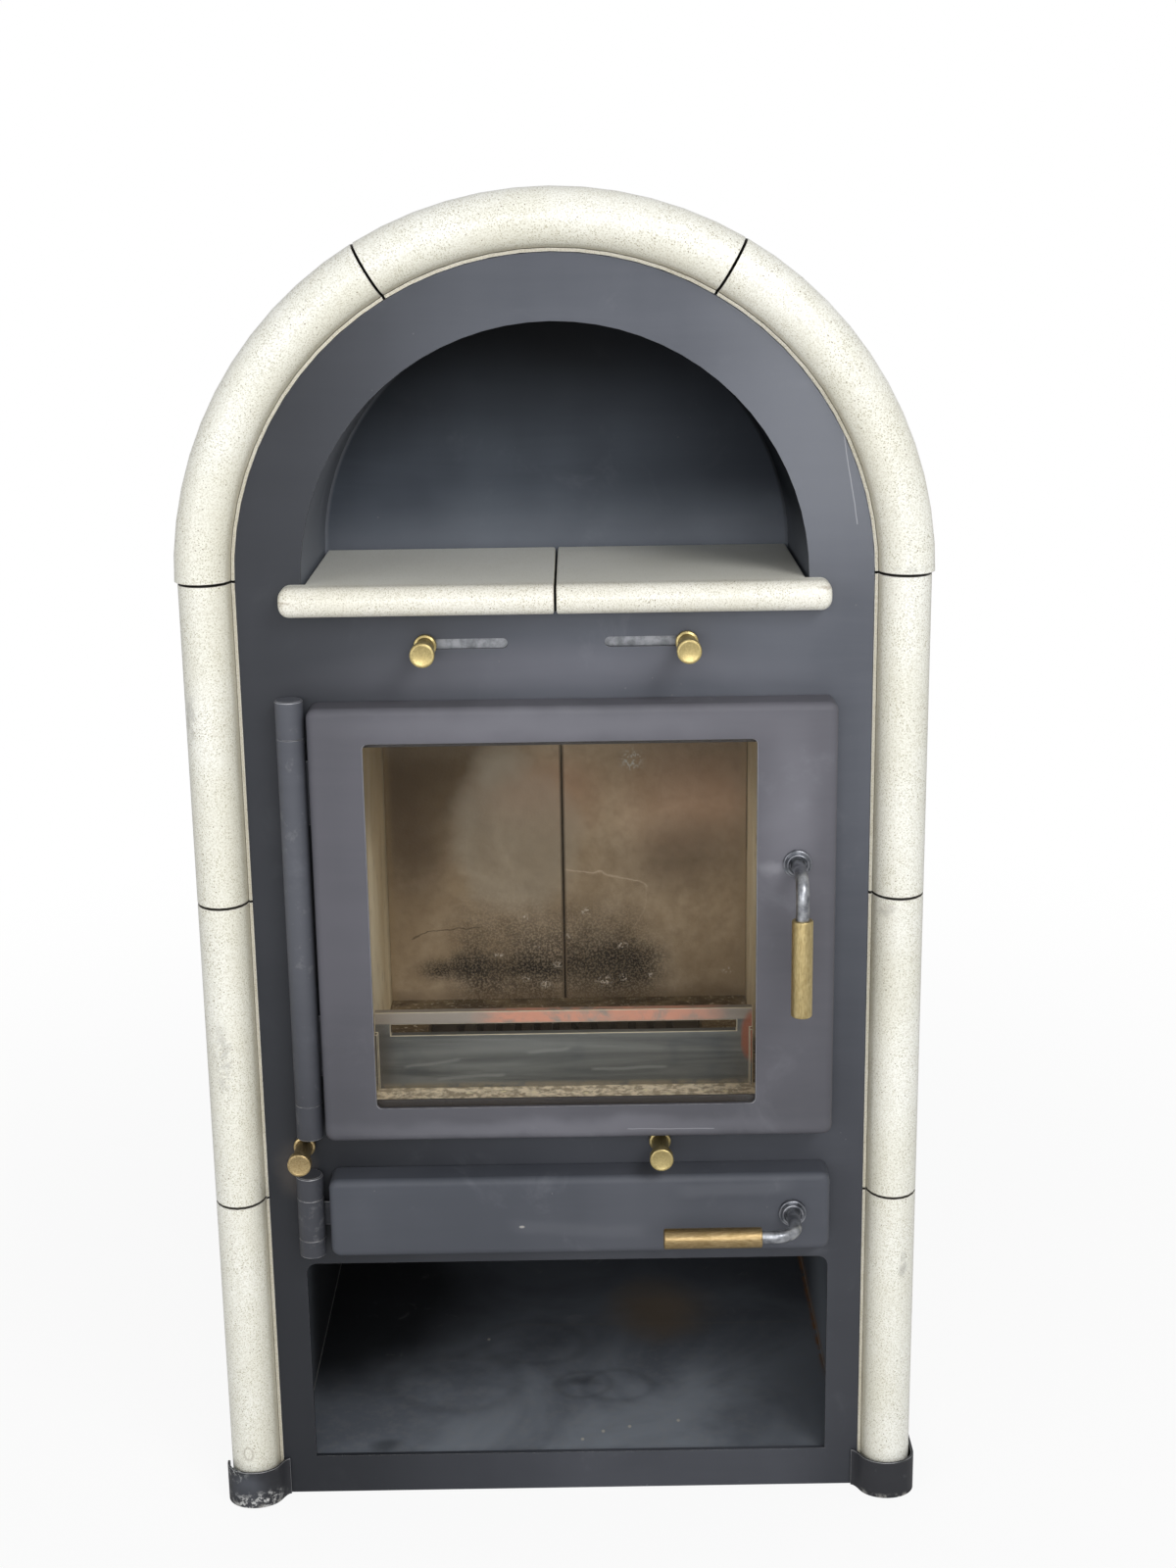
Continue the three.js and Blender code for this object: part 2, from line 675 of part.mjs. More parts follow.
// Two ceramic slabs side by side, with a full round front edge that stands before the plate.
function addShelfTiles() {
  const radius = shelfThickness / 2;
  const roundCentre = radius - shelfReach;
  const back = nicheDepth - shelfSideGap;
  const inner = tileJoint / 2;
  const profile = [
    new THREE.Vector2(back, shelfBottom),
    new THREE.Vector2(back, shelfTop),
    ...arc(roundCentre, shelfBottom + radius, radius, 90, 270, 8),
  ];
  const widest = solid(bar(profile, inner, shelfHalfWidth));
  const corner = arc(shelfHalfWidth - shelfCorner, shelfCorner - shelfReach, shelfCorner, -90, 0, 5);
  const plan = [
    new THREE.Vector2(inner, -shelfReach),
    ...corner,
    ...corners(
      [shelfHalfWidth, -seat],
      [nicheRadius - shelfSideGap, -seat],
      [nicheRadius - shelfSideGap, back],
      [inner, back],
    ),
  ];
  const shape = geometryOf(widest.intersect(solid(slab(plan, shelfBottom - 1, shelfTop + 1))));
  place("shelf_tile_right", shape, glaze);
  place("shelf_tile_left", shape, glaze).scale.x = -1;
}

// ---- Firebox ------------------------------------------------------------------------------

function addFireboxShell() {
  const w = fireboxWall;
  const lower = block(-fireboxOuter, fireboxOuter, behindPlate, fireboxBack, fireboxFloor, fireboxTop);
  const upper = block(
    -smokeBoxHalfWidth, smokeBoxHalfWidth, smokeBoxFront, smokeBoxBack, fireboxTop - w, smokeBoxTop,
  );
  const lowerHollow = block(
    -fireboxInner, fireboxInner, 0, fireboxBack - w, fireboxFloor + w, fireboxTop - w,
  );
  const upperHollow = block(
    w - smokeBoxHalfWidth, smokeBoxHalfWidth - w, smokeBoxFront + w, fireboxBack - w,
    fireboxTop - 2 * w, smokeBoxTop - w,
  );
  const upperRear = block(
    w - smokeBoxHalfWidth, smokeBoxHalfWidth - w, smokeBoxFront + w, smokeBoxBack - w,
    fireboxTop, smokeBoxTop - w,
  );
  const ashHole = block(
    grateHoleInset - grateHalfWidth, grateHalfWidth - grateHoleInset,
    grateFront + grateHoleInset, grateBack - riddleTravel - grateHoleInset,
    fireboxFloor - w, hearthTop,
  );
  const flueHole = rodAlongY(flueOuterRadius - sheet, smokeBoxBack - 3 * w, smokeBoxBack + w, 32);
  const cut = solid(flueHole.translate(0, 0, flueHeight));
  const stopHalf = fireboxHalfWidth - seat;
  const brickStop = block(
    liningShift - stopHalf, liningShift + stopHalf, behindPlate, hearthFront - seat,
    fireboxFloor + w - weldOverlap, hearthTop - brickStopDrop,
  );
  const hollow = lowerHollow.subtract(brickStop);
  const shell = lower.add(upper).subtract(hollow).subtract(upperHollow).subtract(upperRear);
  place("firebox_shell", shell.subtract(ashHole).subtract(cut), innerSteel);
}

function addBricks() {
  const sideBack = fireboxBack - fireboxWall - seat;
  const sideInner = fireboxHalfWidth + seat;
  const sideBrick = block(sideInner, sideInner + brick, brickFront, sideBack, hearthBottom, brickTop);
  for (const [side, sign] of [["left", -1], ["right", 1]]) {
    place(`side_brick_${side}`, sideBrick, firebrick, liningShift).scale.x = sign;
  }
  const left = liningShift - fireboxHalfWidth;
  const right = liningShift + fireboxHalfWidth;
  const seam = brickSeam / 2;
  const leftBrick = block(left, -seam, backBrickFront, sideBack, hearthBottom, brickTop);
  const rightBrick = block(seam, right, backBrickFront, sideBack, hearthBottom, brickTop);
  place("back_brick_left", leftBrick, firebrick);
  place("back_brick_right", rightBrick, firebrick);
  const hearth = block(left, right, hearthFront, backBrickFront - seat, hearthBottom, hearthTop);
  const clear = grateClearance;
  const recess = block(
    -grateHalfWidth - clear, grateHalfWidth + clear, grateFront - riddleTravel - clear,
    grateBack + clear, hearthBottom - 1, hearthTop + 1,
  );
  place("hearth_brick", hearth.subtract(recess), firebrick);
  const top = brickTop + seat;
  const wide = fireboxInner - seat;
  const baffle = block(-wide, wide, baffleFront, sideBack, top, top + baffleThickness);
  place("baffle_plate", baffle, firebrick);
}

function addGrate() {
  const top = hearthBottom + grateThickness;
  let grate = block(-grateHalfWidth, grateHalfWidth, grateFront, grateBack, hearthBottom, top);
  for (let i = 0; i < grateSlots; i++) {
    const x = (i - (grateSlots - 1) / 2) * grateSlotPitch;
    const half = grateSlotWidth / 2;
    grate = grate.subtract(
      block(
        x - half, x + half, grateFront + grateRim, grateBack - grateRim, hearthBottom - 1, top + 1,
      ),
    );
  }
  place("grate", grate, castIron);
}

// A steel bar across the hearth, with a long slot and its ends turned forwards, that keeps
// logs off the glass.
function addLogGuard() {
  const foot = hearthTop + seat;
  const top = foot + guardHeight;
  const back = guardFront + guardThickness;
  let panel = block(-guardHalfWidth, guardHalfWidth, guardFront, back, foot, top);
  for (const x of [-guardHalfWidth, guardHalfWidth - guardWingThickness]) {
    const wingTop = foot + guardWingHeight;
    const wingFront = guardFront - guardWingReach;
    panel = panel.add(block(x, x + guardWingThickness, wingFront, guardFront + 1, foot, wingTop));
  }
  const slotFoot = foot + guardSlotBottom;
  const slot = block(
    -guardSlotHalfWidth, guardSlotHalfWidth, guardFront - 1, back + 1,
    slotFoot, slotFoot + guardSlotHeight,
  );
  place("log_guard", panel.subtract(slot), heatSteel);
}

function addFlueCollar() {
  const start = smokeBoxBack + seat;
  const flangeEnd = start + flueFlangeThickness;
  const outer = flueOuterRadius;
  const profile = corners(
    [outer - sheet, start], [outer + flueFlange, start], [outer + flueFlange, flangeEnd],
    [outer, flangeEnd], [outer, flueReach], [outer - sheet, flueReach],
  );
  place("flue_collar", turned(profile, 40), galvanised, 0, 0, flueHeight);
}

// ---- Ash compartment and wood store -------------------------------------------------------

function addAshBox() {
  const floor = ashMouthBottom + seat;
  const top = fireboxFloor - seat;
  const skin = block(-ashBoxHalfWidth, ashBoxHalfWidth, behindPlate, ashBoxBack, floor - sheet, top);
  const inner = ashBoxHalfWidth - sheet;
  const hollow = block(-inner, inner, 0, ashBoxBack - sheet, floor, top + 1);
  const gap = stemRadius + armClearance;
  const armSlot = block(
    -ashBoxHalfWidth - 1, 1 - inner, riddleRodBack - riddleTravel - 2 * gap, riddleRodBack + gap,
    lowerRodLevel - gap, lowerRodLevel + gap,
  );
  const reach = damperHalfWidth - damperLap;
  const airHole = block(
    primaryRodX - reach, primaryRodX + reach, ashBoxBack - sheet - 1, ashBoxBack + 1,
    lowerRodLevel - damperFoot + damperLap, lowerRodLevel + damperHead - damperLap,
  );
  const box = skin.subtract(hollow).subtract(armSlot).subtract(airHole);
  place("ash_box", box, innerSteel);
}

function addAshPan() {
  const floor = ashMouthBottom + 2 * seat;
  const back = ashPanFront + ashPanLength;
  const top = floor + ashPanHeight;
  const skin = block(-ashPanHalfWidth, ashPanHalfWidth, ashPanFront, back, floor, top);
  const inner = ashPanHalfWidth - ashPanWall;
  const hollow = block(
    -inner, inner, ashPanFront + ashPanWall, back - ashPanWall, floor + ashPanWall, top + 1,
  );
  const lip = block(
    -ashPanLipHalfWidth, ashPanLipHalfWidth, ashPanFront - ashPanLip, ashPanFront + 1,
    top - ashPanWall, top,
  );
  place("ash_pan", skin.subtract(hollow).add(lip), galvanised);
}

function addStoreLiner() {
  const w = storeLinerWall;
  const wide = storeLinerHalfWidth;
  const back = claddingBack - 2 * seat;
  const skin = block(-wide, wide, behindPlate, back, storeFloor - w, storeLinerTop);
  const hollow = block(w - wide, wide - w, 0, back - w, storeFloor, storeLinerTop - w);
  place("wood_store_liner", skin.subtract(hollow), innerSteel);
}

// ---- Doors --------------------------------------------------------------------------------

// A door pressed from sheet: a flat face with rounded edges and a rim turned back to the plate.
function pressedDoor(door) {
  const outline = roundedRectangle(door.left, door.right, door.bottom, door.top, doorCorner, 4);
  const geometry = new THREE.ExtrudeGeometry(new THREE.Shape(outline), {
    depth: doorBack - doorFace,
    bevelThickness: doorRound,
    bevelSize: doorRound,
    bevelOffset: -doorRound,
    bevelSegments: doorRoundSteps,
  });
  geometry.rotateX(Math.PI / 2);
  geometry.translate(0, doorBack + doorRound, 0);
  const clear = 10;
  const behind = block(
    door.left - clear, door.right + clear, doorBack, doorBack + 3 * clear,
    door.bottom - clear, door.top + clear,
  );
  const t = doorSheet;
  const pocket = block(
    door.left + t, door.right - t, doorFace + t, doorBack + clear, door.bottom + t, door.top - t,
  );
  return solid(geometry).subtract(behind).subtract(pocket);
}

// A rectangular ring round the middle of the mouth.
function mouthRing(halfWidth, halfHeight, width, y0, y1) {
  const [x0, x1] = [-halfWidth, halfWidth];
  const [z0, z1] = [mouthMiddle - halfHeight, mouthMiddle + halfHeight];
  const outline = rectangle(x0 - width, x1 + width, z0 - width, z1 + width);
  return plate(outline, y0, y1, [rectangle(x0, x1, z0, z1)]);
}

function spindleHole(handle) {
  const bore = rodAlongY(rodRadius + rodHoleClearance, doorFace - 1, doorFace + doorSheet + 1);
  return solid(bore.translate(handle.x, 0, handle.z));
}

function addFireDoor() {
  const pane = windowPane;
  const opening = roundedRectangle(pane.left, pane.right, pane.bottom, pane.top, windowCorner, 3);
  const inside = doorFace + doorSheet;
  const ribBack = doorBack - 2;
  const rib = (half, high) =>
    solid(mouthRing(half, high, sealRib, inside - weldOverlap, ribBack));
  const innerRib = rib(sealHalfWidth - seat - sealRib, sealHalfHeight - seat - sealRib);
  const outerRib = rib(sealHalfWidth + sealWidth + seat, sealHalfHeight + sealWidth + seat);
  const cutWindow = solid(plate(opening, doorFace - 1, inside + 1));
  const frame = pressedDoor(fireDoor).add(innerRib).add(outerRib).subtract(cutWindow);
  place("fire_door_frame", frame.subtract(spindleHole(fireHandle)), doorPaint);

  const over = glassOverlap;
  const glassFront = inside + seat;
  const glassBack = glassFront + glassThickness;
  const sheetOfGlass = rectangle(pane.left - over, pane.right + over, pane.bottom - over, pane.top + over);
  place("door_glass", plate(sheetOfGlass, glassFront, glassBack), glassPane);

  // Each retainer has a foot on the door beyond the glass, and a flange behind the glass.
  const retainerBack = glassBack + seat + retainerThickness;
  const footEdge = over + retainerClearance;
  const farEdge = footEdge + retainerFoot;
  const profile = corners(
    [glassFront, footEdge], [glassFront, farEdge], [retainerBack, farEdge], [retainerBack, -over],
    [glassBack + seat, -over], [glassBack + seat, footEdge],
  );
  const below = profile.map((p) => new THREE.Vector2(p.x, -p.y)).reverse();
  const [x0, x1] = [pane.left - over / 2, pane.right + over / 2];
  place("glass_retainer_top", bar(profile, x0, x1), innerSteel, 0, 0, pane.top);
  place("glass_retainer_bottom", bar(below, x0, x1), innerSteel, 0, 0, pane.bottom);

  const seal = mouthRing(sealHalfWidth, sealHalfHeight, sealWidth, -seat - sealDepth, -seat);
  place("fire_door_seal", seal, rope);
}

function addAshDoor() {
  place("ash_door_panel", pressedDoor(ashDoor).subtract(spindleHole(ashHandle)), doorPaint);
}

// ---- Hinges -------------------------------------------------------------------------------

// Where a door's hinge line stands, and the heights at which its three parts meet.
function hingeLine(door, offset, knuckle) {
  const bottom = door.bottom - knuckle.below;
  const top = door.top + knuckle.above;
  return {
    x: door.left - offset,
    bottom,
    barrelBottom: bottom + knuckle.bottom,
    barrelTop: top - knuckle.top,
    top,
  };
}

// A knuckle welded to the front plate, with a pin that reaches into the door's barrel.
function pintle(z0, z1, pinEnd) {
  const rim = hingeCapRim;
  const r = hingeRadius;
  const profile =
    pinEnd < z0
      ? corners([0, pinEnd], [hingePinRadius, pinEnd], [hingePinRadius, z0], [r, z0],
          [r, z1 - rim], [r - rim, z1], [0, z1])
      : corners([0, z0], [r - rim, z0], [r, z0 + rim], [r, z1], [hingePinRadius, z1],
          [hingePinRadius, pinEnd], [0, pinEnd]);
  const knuckle = solid(turned(profile, hingeSegments).rotateX(Math.PI / 2));
  const half = hingeWeldHalfWidth;
  const inset = hingeWeldInset;
  const weld = block(-half, half, 0, -hingeDepth - seat, z0 + inset, z1 - inset);
  return knuckle.add(weld);
}

// The tube on the door, with leaves that are welded to the door's rim.
function barrel(hinge, door, leaves) {
  const low = hinge.barrelBottom + hingeEndGap;
  const high = hinge.barrelTop - hingeEndGap;
  const profile = corners(
    [hingeBoreRadius, low], [hingeRadius, low], [hingeRadius, high], [hingeBoreRadius, high],
  );
  let body = solid(turned(profile, hingeSegments).rotateX(Math.PI / 2));
  const reach = door.left - hinge.x - seat;
  const leafBack = hingeRadius - hingeLeafInset;
  for (const height of leaves.heights) {
    const half = leaves.length / 2;
    body = body.add(block(
      hingeBoreRadius + hingeLeafInset, reach, leafBack - hingeLeafThickness, leafBack,
      height - half, height + half,
    ));
  }
  return body;
}

function addHinge(prefix, hinge, door, leaves) {
  const halfBarrel = (hinge.barrelTop - hinge.barrelBottom) / 2;
  const pin = Math.min(hingePinLength, halfBarrel - hingePinGap);
  const top = pintle(hinge.barrelTop, hinge.top, hinge.barrelTop - pin);
  const bottom = pintle(hinge.bottom, hinge.barrelBottom, hinge.barrelBottom + pin);
  const tube = barrel(hinge, door, leaves);
  place(`${prefix}_hinge_barrel`, tube, doorPaint, hinge.x, hingeDepth, 0);
  place(`${prefix}_pintle_top`, top, doorPaint, hinge.x, hingeDepth, 0);
  place(`${prefix}_pintle_bottom`, bottom, doorPaint, hinge.x, hingeDepth, 0);
}

// ---- Handles ------------------------------------------------------------------------------

// The handle is drawn with its grip hanging straight down from the spindle, which lies on the
// Y axis, and then turned to its place.
function addHandle(prefix, handle, turn) {
  const spindleEnd = latchRear - latchThickness - seat;
  const path = new THREE.CurvePath();
  const bendStart = new THREE.Vector3(0, gripDepth + rodBend, 0);
  const bendEnd = new THREE.Vector3(0, gripDepth, -rodBend);
  const tip = new THREE.Vector3(0, gripDepth, -handle.offset - rodInGrip);
  path.add(new THREE.LineCurve3(new THREE.Vector3(0, spindleEnd, 0), bendStart));
  path.add(new RodBend(bendStart, bendEnd));
  path.add(new THREE.LineCurve3(bendEnd, tip));
  const rod = new THREE.ExtrudeGeometry(new THREE.Shape(arc(0, 0, rodRadius, 0, 330, 11)), {
    steps: 24,
    extrudePath: path,
    bevelEnabled: false,
  });

  const far = -gripLength;
  const bore = rodRadius + seat;
  const c = gripChamfer;
  const gripProfile = corners(
    [bore, 0], [gripRadius - c, 0], [gripRadius, -c], [gripRadius, far + c],
    [gripRadius - c, far], [0, far], [0, -rodInGrip - seat], [bore, -rodInGrip - seat],
  );
  const grip = turned(gripProfile, smallSegments).rotateX(Math.PI / 2);
  grip.translate(0, gripDepth, -handle.offset);

  const bossFoot = doorFace - seat;
  const hole = rodRadius + rodHoleClearance;
  const bossProfile = corners(
    [hole, bossFoot], [bossRadius, bossFoot], [bossRadius, bossFoot - bossHeight / 2],
    [bossStep, bossFoot - bossHeight / 2 - 1], [bossStep - 1, bossFoot - bossHeight],
    [hole, bossFoot - bossHeight],
  );
  place(`${prefix}_handle_boss`, turned(bossProfile, smallSegments), gunmetal, handle.x, 0, handle.z);

  // The tongue points at the keeper, to the right, whichever way the grip hangs.
  const hub = rodAlongY(latchHub, latchRear - latchThickness, latchRear, 16);
  const tongue = block(
    0, latchReach, latchRear - latchThickness, latchRear, -latchHalfHeight, latchHalfHeight,
  );
  place(`${prefix}_latch`, solid(hub).add(tongue), heatSteel, handle.x, 0, handle.z);
  place(`${prefix}_handle_rod`, rod, gunmetal, handle.x, 0, handle.z).rotation.y = turn;
  place(`${prefix}_handle_grip`, grip, brass, handle.x, 0, handle.z).rotation.y = turn;
}

// A quarter circle from a start that runs along -Y to an end that runs down.
class RodBend extends THREE.Curve {
  constructor(start, end) {
    super();
    this.start = start;
    this.end = end;
  }
  getPoint(t, target = new THREE.Vector3()) {
    const angle = (t * Math.PI) / 2;
    const reach = this.start.y - this.end.y;
    const drop = this.start.z - this.end.z;
    return target.set(
      this.start.x,
      this.start.y - reach * Math.sin(angle),
      this.start.z - drop * (1 - Math.cos(angle)),
    );
  }
}

// ---- Air controls -------------------------------------------------------------------------

// A turned brass knob on the front end of a rod or stem.
function knob() {
  const c = knobChamfer;
  const bore = stemRadius + seat;
  const profile = corners(
    [bore, -knobBack], [knobFlange - c, -knobBack], [knobFlange, -knobBack - c],
    [knobFlange, -knobBack - knobFoot], [knobNeck, -knobBack - knobFoot - c],
    [knobNeck, -knobFront + knobHead + c], [knobRadius, -knobFront + knobHead],
    [knobRadius, -knobFront + c], [knobRadius - c, -knobFront], [0, -knobFront],
    [0, -knobBack - knobBore - seat], [bore, -knobBack - knobBore - seat],
  );
  return turned(profile, smallSegments);
}

// A flat slide behind a slot of the plate, with a stem through the slot. The right slide runs
// behind the left one, so that they can pass in the middle.
function addUpperSlide(side, sign, layer) {
  const front = behindPlate + layer * (slideThickness + seat);
  const back = front + slideThickness;
  const inner = slotInnerEnd - stemRadius - stemRest;
  const [x0, x1] = [sign * inner, sign * slideOverrun].sort((a, b) => a - b);
  const leaf = block(x0, x1, front, back, -slideHeight / 2, slideHeight / 2);
  const stem = solid(rodAlongY(stemRadius, -knobBack - knobBore, front + 1, 12));
  place(`${side}_air_slide`, leaf.add(stem), heatSteel, sign * stemRest, 0, slotLevel);
  place(`${side}_air_knob`, knob(), brass, sign * stemRest, 0, slotLevel);
}

// The primary air rod runs over the ash pan to a damper, which closes the air hole in the
// ash box's rear wall when the knob is pushed home.
function addPrimaryAirRod() {
  const back = ashBoxBack - sheet - seat;
  const front = back - damperThickness;
  const stem = solid(rodAlongY(stemRadius, -knobBack - knobBore, front + 1, 12));
  const damper = block(
    -damperHalfWidth, damperHalfWidth, front, back, -damperFoot, damperHead,
  );
  place("primary_air_rod", stem.add(damper), heatSteel, primaryRodX, 0, lowerRodLevel);
  place("primary_air_knob", knob(), brass, primaryRodX, 0, lowerRodLevel);
}

// The riddling rod runs back beside the ash box, turns in through its side, and pushes the
// grate with a finger that stands up through the firebox floor.
function addRiddlingRod() {
  const stem = solid(rodAlongY(stemRadius, -knobBack - knobBore, riddleRodBack, 12));
  const half = stemRadius - 0.5;
  const fingerX = -riddleRodX + grateHoleInset / 2 - grateHalfWidth + 2 * grateHoleInset;
  const arm = block(
    0, fingerX + half, riddleRodBack - 2 * half, riddleRodBack - 0.01, -half, half,
  );
  const finger = block(
    fingerX - half, fingerX + half, riddleRodBack - 2 * half, riddleRodBack - 0.01,
    -half, hearthBottom - seat - lowerRodLevel,
  );
  place("riddling_rod", stem.add(arm).add(finger), heatSteel, riddleRodX, 0, lowerRodLevel);
  place("riddling_knob", knob(), brass, riddleRodX, 0, lowerRodLevel);
}

// ---- Assembly -----------------------------------------------------------------------------
addFrontPlate();
addJacket();
addBasePlate();
addFootCollars();
addRearPanel();
addSideTiles();
addArchTiles();
addNiche();
addShelfTiles();
addFireboxShell();
addBricks();
addGrate();
addLogGuard();
addFlueCollar();
addAshBox();
addAshPan();
addStoreLiner();
addFireDoor();
addAshDoor();
addHinge("fire_door", fireHinge, fireDoor, fireLeaves);
addHinge("ash_door", ashHinge, ashDoor, ashLeaves);
addHandle("fire_door", fireHandle, 0);
addHandle("ash_door", ashHandle, Math.PI / 2);
addUpperSlide("left", -1, 0);
addUpperSlide("right", 1, 1);
addPrimaryAirRod();
addRiddlingRod();

// The origin lies on the floor, in the middle of the stove's width and depth.
const frontmost = gripDepth - gripRadius;
stove.position.y = -(frontmost + flueReach) / 2;

export default stove;
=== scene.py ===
import math

import bmesh
import bpy
from mathutils import Matrix, Vector


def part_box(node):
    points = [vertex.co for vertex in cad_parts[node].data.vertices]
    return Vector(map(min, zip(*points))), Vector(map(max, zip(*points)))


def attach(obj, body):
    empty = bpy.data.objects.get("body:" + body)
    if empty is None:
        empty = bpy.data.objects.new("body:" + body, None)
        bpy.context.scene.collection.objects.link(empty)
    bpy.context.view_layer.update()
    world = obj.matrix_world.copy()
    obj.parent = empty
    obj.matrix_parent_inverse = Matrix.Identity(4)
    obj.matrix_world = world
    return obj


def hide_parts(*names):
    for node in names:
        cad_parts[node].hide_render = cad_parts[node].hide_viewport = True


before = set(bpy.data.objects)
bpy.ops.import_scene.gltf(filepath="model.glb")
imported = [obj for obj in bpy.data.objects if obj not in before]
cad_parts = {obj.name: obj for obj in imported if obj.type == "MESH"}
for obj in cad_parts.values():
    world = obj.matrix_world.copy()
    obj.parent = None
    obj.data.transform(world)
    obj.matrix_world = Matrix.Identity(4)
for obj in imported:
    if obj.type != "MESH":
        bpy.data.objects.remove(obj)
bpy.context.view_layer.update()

# ---- The view and the room -----------------------------------------------------------------
# The eye is about two metres before the stove, 1.24 m up, and looks slightly down at it. The
# room is plain and white, with a soft light above to the right, a weaker one to the left and a
# broad one behind the eye.
EYE_PLACE = (0.0211, -2.1133, 1.2422)  # fitted to the plate's edges, the arch and the doors
EYE_TURN = (75.010, 0.794, -0.383)  # in degrees, about x, y and z
FOCAL_LENGTH = 49.938  # in millimetres, for a film 36 mm high

lens = bpy.data.cameras.new("standing_view")
lens.sensor_fit = "VERTICAL"
lens.sensor_height = 36
lens.lens = FOCAL_LENGTH
eye = bpy.data.objects.new("standing_view", lens)
eye.location = EYE_PLACE
eye.rotation_euler = [math.radians(angle) for angle in EYE_TURN]
bpy.context.scene.collection.objects.link(eye)
bpy.context.scene.camera = eye
bpy.context.scene.view_settings.view_transform = "Standard"


def soft_light(name, place, aim, width, height, watts):
    """A rectangular lamp at one point that faces another, with its size in metres."""
    lamp = bpy.data.lights.new(name, "AREA")
    lamp.shape = "RECTANGLE"
    lamp.size = width
    lamp.size_y = height
    lamp.energy = watts
    holder = bpy.data.objects.new(name, lamp)
    holder.location = place
    holder.rotation_euler = (Vector(aim) - Vector(place)).to_track_quat("-Z", "Y").to_euler()
    bpy.context.scene.collection.objects.link(holder)


soft_light("window_right", (1.4, -2.3, 2.7), (0, 0, 0.75), 1.2, 1.0, 36)
soft_light("window_left", (-2.2, -2.4, 1.3), (0, 0, 0.45), 1.4, 1.6, 17)
soft_light("room_behind_viewer", (0.1, -3.2, 1.45), (0, 0, 0.4), 2.0, 1.4, 35)


class Wire:
    """An output in a node tree. Python's operators on it add Math nodes."""

    def __init__(self, tree, socket=None):
        self.tree = tree
        self.socket = socket

    def node(self, kind, settings=None, out=0, **sockets):
        """Adds a node: its settings, the output to use, and its inputs, by name or as s0, s1..."""
        made = self.tree.nodes.new(kind)
        for key, value in (settings or {}).items():
            setattr(made, key, value)
        for key, value in sockets.items():
            name = int(key[1:]) if key[0] == "s" and key[1:].isdigit() else key.replace("_", " ")
            if isinstance(value, Wire):
                self.tree.links.new(value.socket, made.inputs[name])
            else:
                made.inputs[name].default_value = value
        return Wire(self.tree, made.outputs[out]) if made.outputs else None

    def math(self, operation, first, second=0.0):
        return self.node("ShaderNodeMath", {"operation": operation}, s0=first, s1=second)

    def vector(self, operation, out="Vector", **sockets):
        return self.node("ShaderNodeVectorMath", {"operation": operation}, out, s0=self, **sockets)

    def __add__(self, other):
        return self.math("ADD", self, other)

    def __sub__(self, other):
        return self.math("SUBTRACT", self, other)

    def __rsub__(self, other):
        return self.math("SUBTRACT", other, self)

    def __mul__(self, other):
        return self.math("MULTIPLY", self, other)

    def __truediv__(self, other):
        return self.math("DIVIDE", self, other)

    __radd__ = __add__

    def __abs__(self):
        return self.math("ABSOLUTE", self)

    def least(self, other):
        return self.math("MINIMUM", self, other)

    def most(self, other):
        return self.math("MAXIMUM", self, other)

    def step(self, low, high):
        """0 below low, 1 above high and a smooth rise between. low may be above high."""
        if low > high:
            return 1 - self.step(high, low)
        settings = {"interpolation_type": "SMOOTHSTEP"}
        return self.node("ShaderNodeMapRange", settings, Value=self, From_Min=low, From_Max=high)

    def near(self, middle, reach, soft):
        """1 within reach of middle, and 0 beyond another soft."""
        return abs(self - middle).step(reach + soft, reach)

    def mapped(self, scale, move=(0, 0, 0)):
        return self.node("ShaderNodeMapping", Vector=self, Location=move, Scale=scale)

    def along(self, axis):
        return self.node("ShaderNodeSeparateXYZ", {}, axis, Vector=self)

    def noise(self, scale, detail=2.0, rough=0.5, bend=0.0):
        return self.node("ShaderNodeTexNoise", Vector=self, Scale=scale, Detail=detail,
                         Roughness=rough, Distortion=bend)

    def cells(self, scale, out="Distance"):
        """The distance from the middle of a point's cell, or the cell's own Color."""
        return self.node("ShaderNodeTexVoronoi", {}, out, Vector=self, Scale=scale)

    def wavy(self, scale, amount):
        """The point, pushed about by a slow noise, so that what is drawn on it wanders."""
        push = self.node("ShaderNodeTexNoise", {}, "Color", Vector=self, Scale=scale, Detail=3.0)
        push = push.vector("SUBTRACT", s1=(0.5,) * 3)
        return push.vector("MULTIPLY_ADD", s1=(amount,) * 3, s2=self)

    def patch(self, middle, reach, soft):
        """1 inside an ellipse round middle with these half axes. An axis of 0 is left out."""
        scale = [1 / r if r else 0.0 for r in reach]
        inside = self.mapped(scale, [-m * s for m, s in zip(middle, scale)])
        return inside.vector("LENGTH", "Value").step(1 + soft, 1 - soft)

    def stroke(self, start, end, width, soft, normal=(0, 1, 0)):
        """1 on a straight line between two points of a face with this normal."""
        ahead = Vector(end) - Vector(start)
        reach = ahead.length / 2
        ahead.normalize()
        aside = ahead.cross(Vector(normal))
        middle = (Vector(start) + Vector(end)) / 2
        lengthways = self.vector("DOT_PRODUCT", "Value", s1=ahead)
        sideways = self.vector("DOT_PRODUCT", "Value", s1=aside)
        return (lengthways.near(ahead.dot(middle), reach, 3 * soft)
                * sideways.near(aside.dot(middle), width / 2, soft))

    def blend(self, start, end):
        """A colour between two others, each a wire or three levels, by this wire from 0 to 1."""
        start, end = (c if isinstance(c, Wire) else shade(*c) for c in (start, end))
        settings = {"data_type": "RGBA", "clamp_factor": True}
        return self.node("ShaderNodeMix", settings, 2, s0=self, s6=start, s7=end)

    def tinted(self, amount, *levels):
        """This colour, with another laid over it as far as amount goes, from 0 to 1."""
        return amount.blend(self, levels)

    def bump(self, strength, distance):
        return self.node("ShaderNodeBump", Height=self, Strength=strength, Distance=distance)


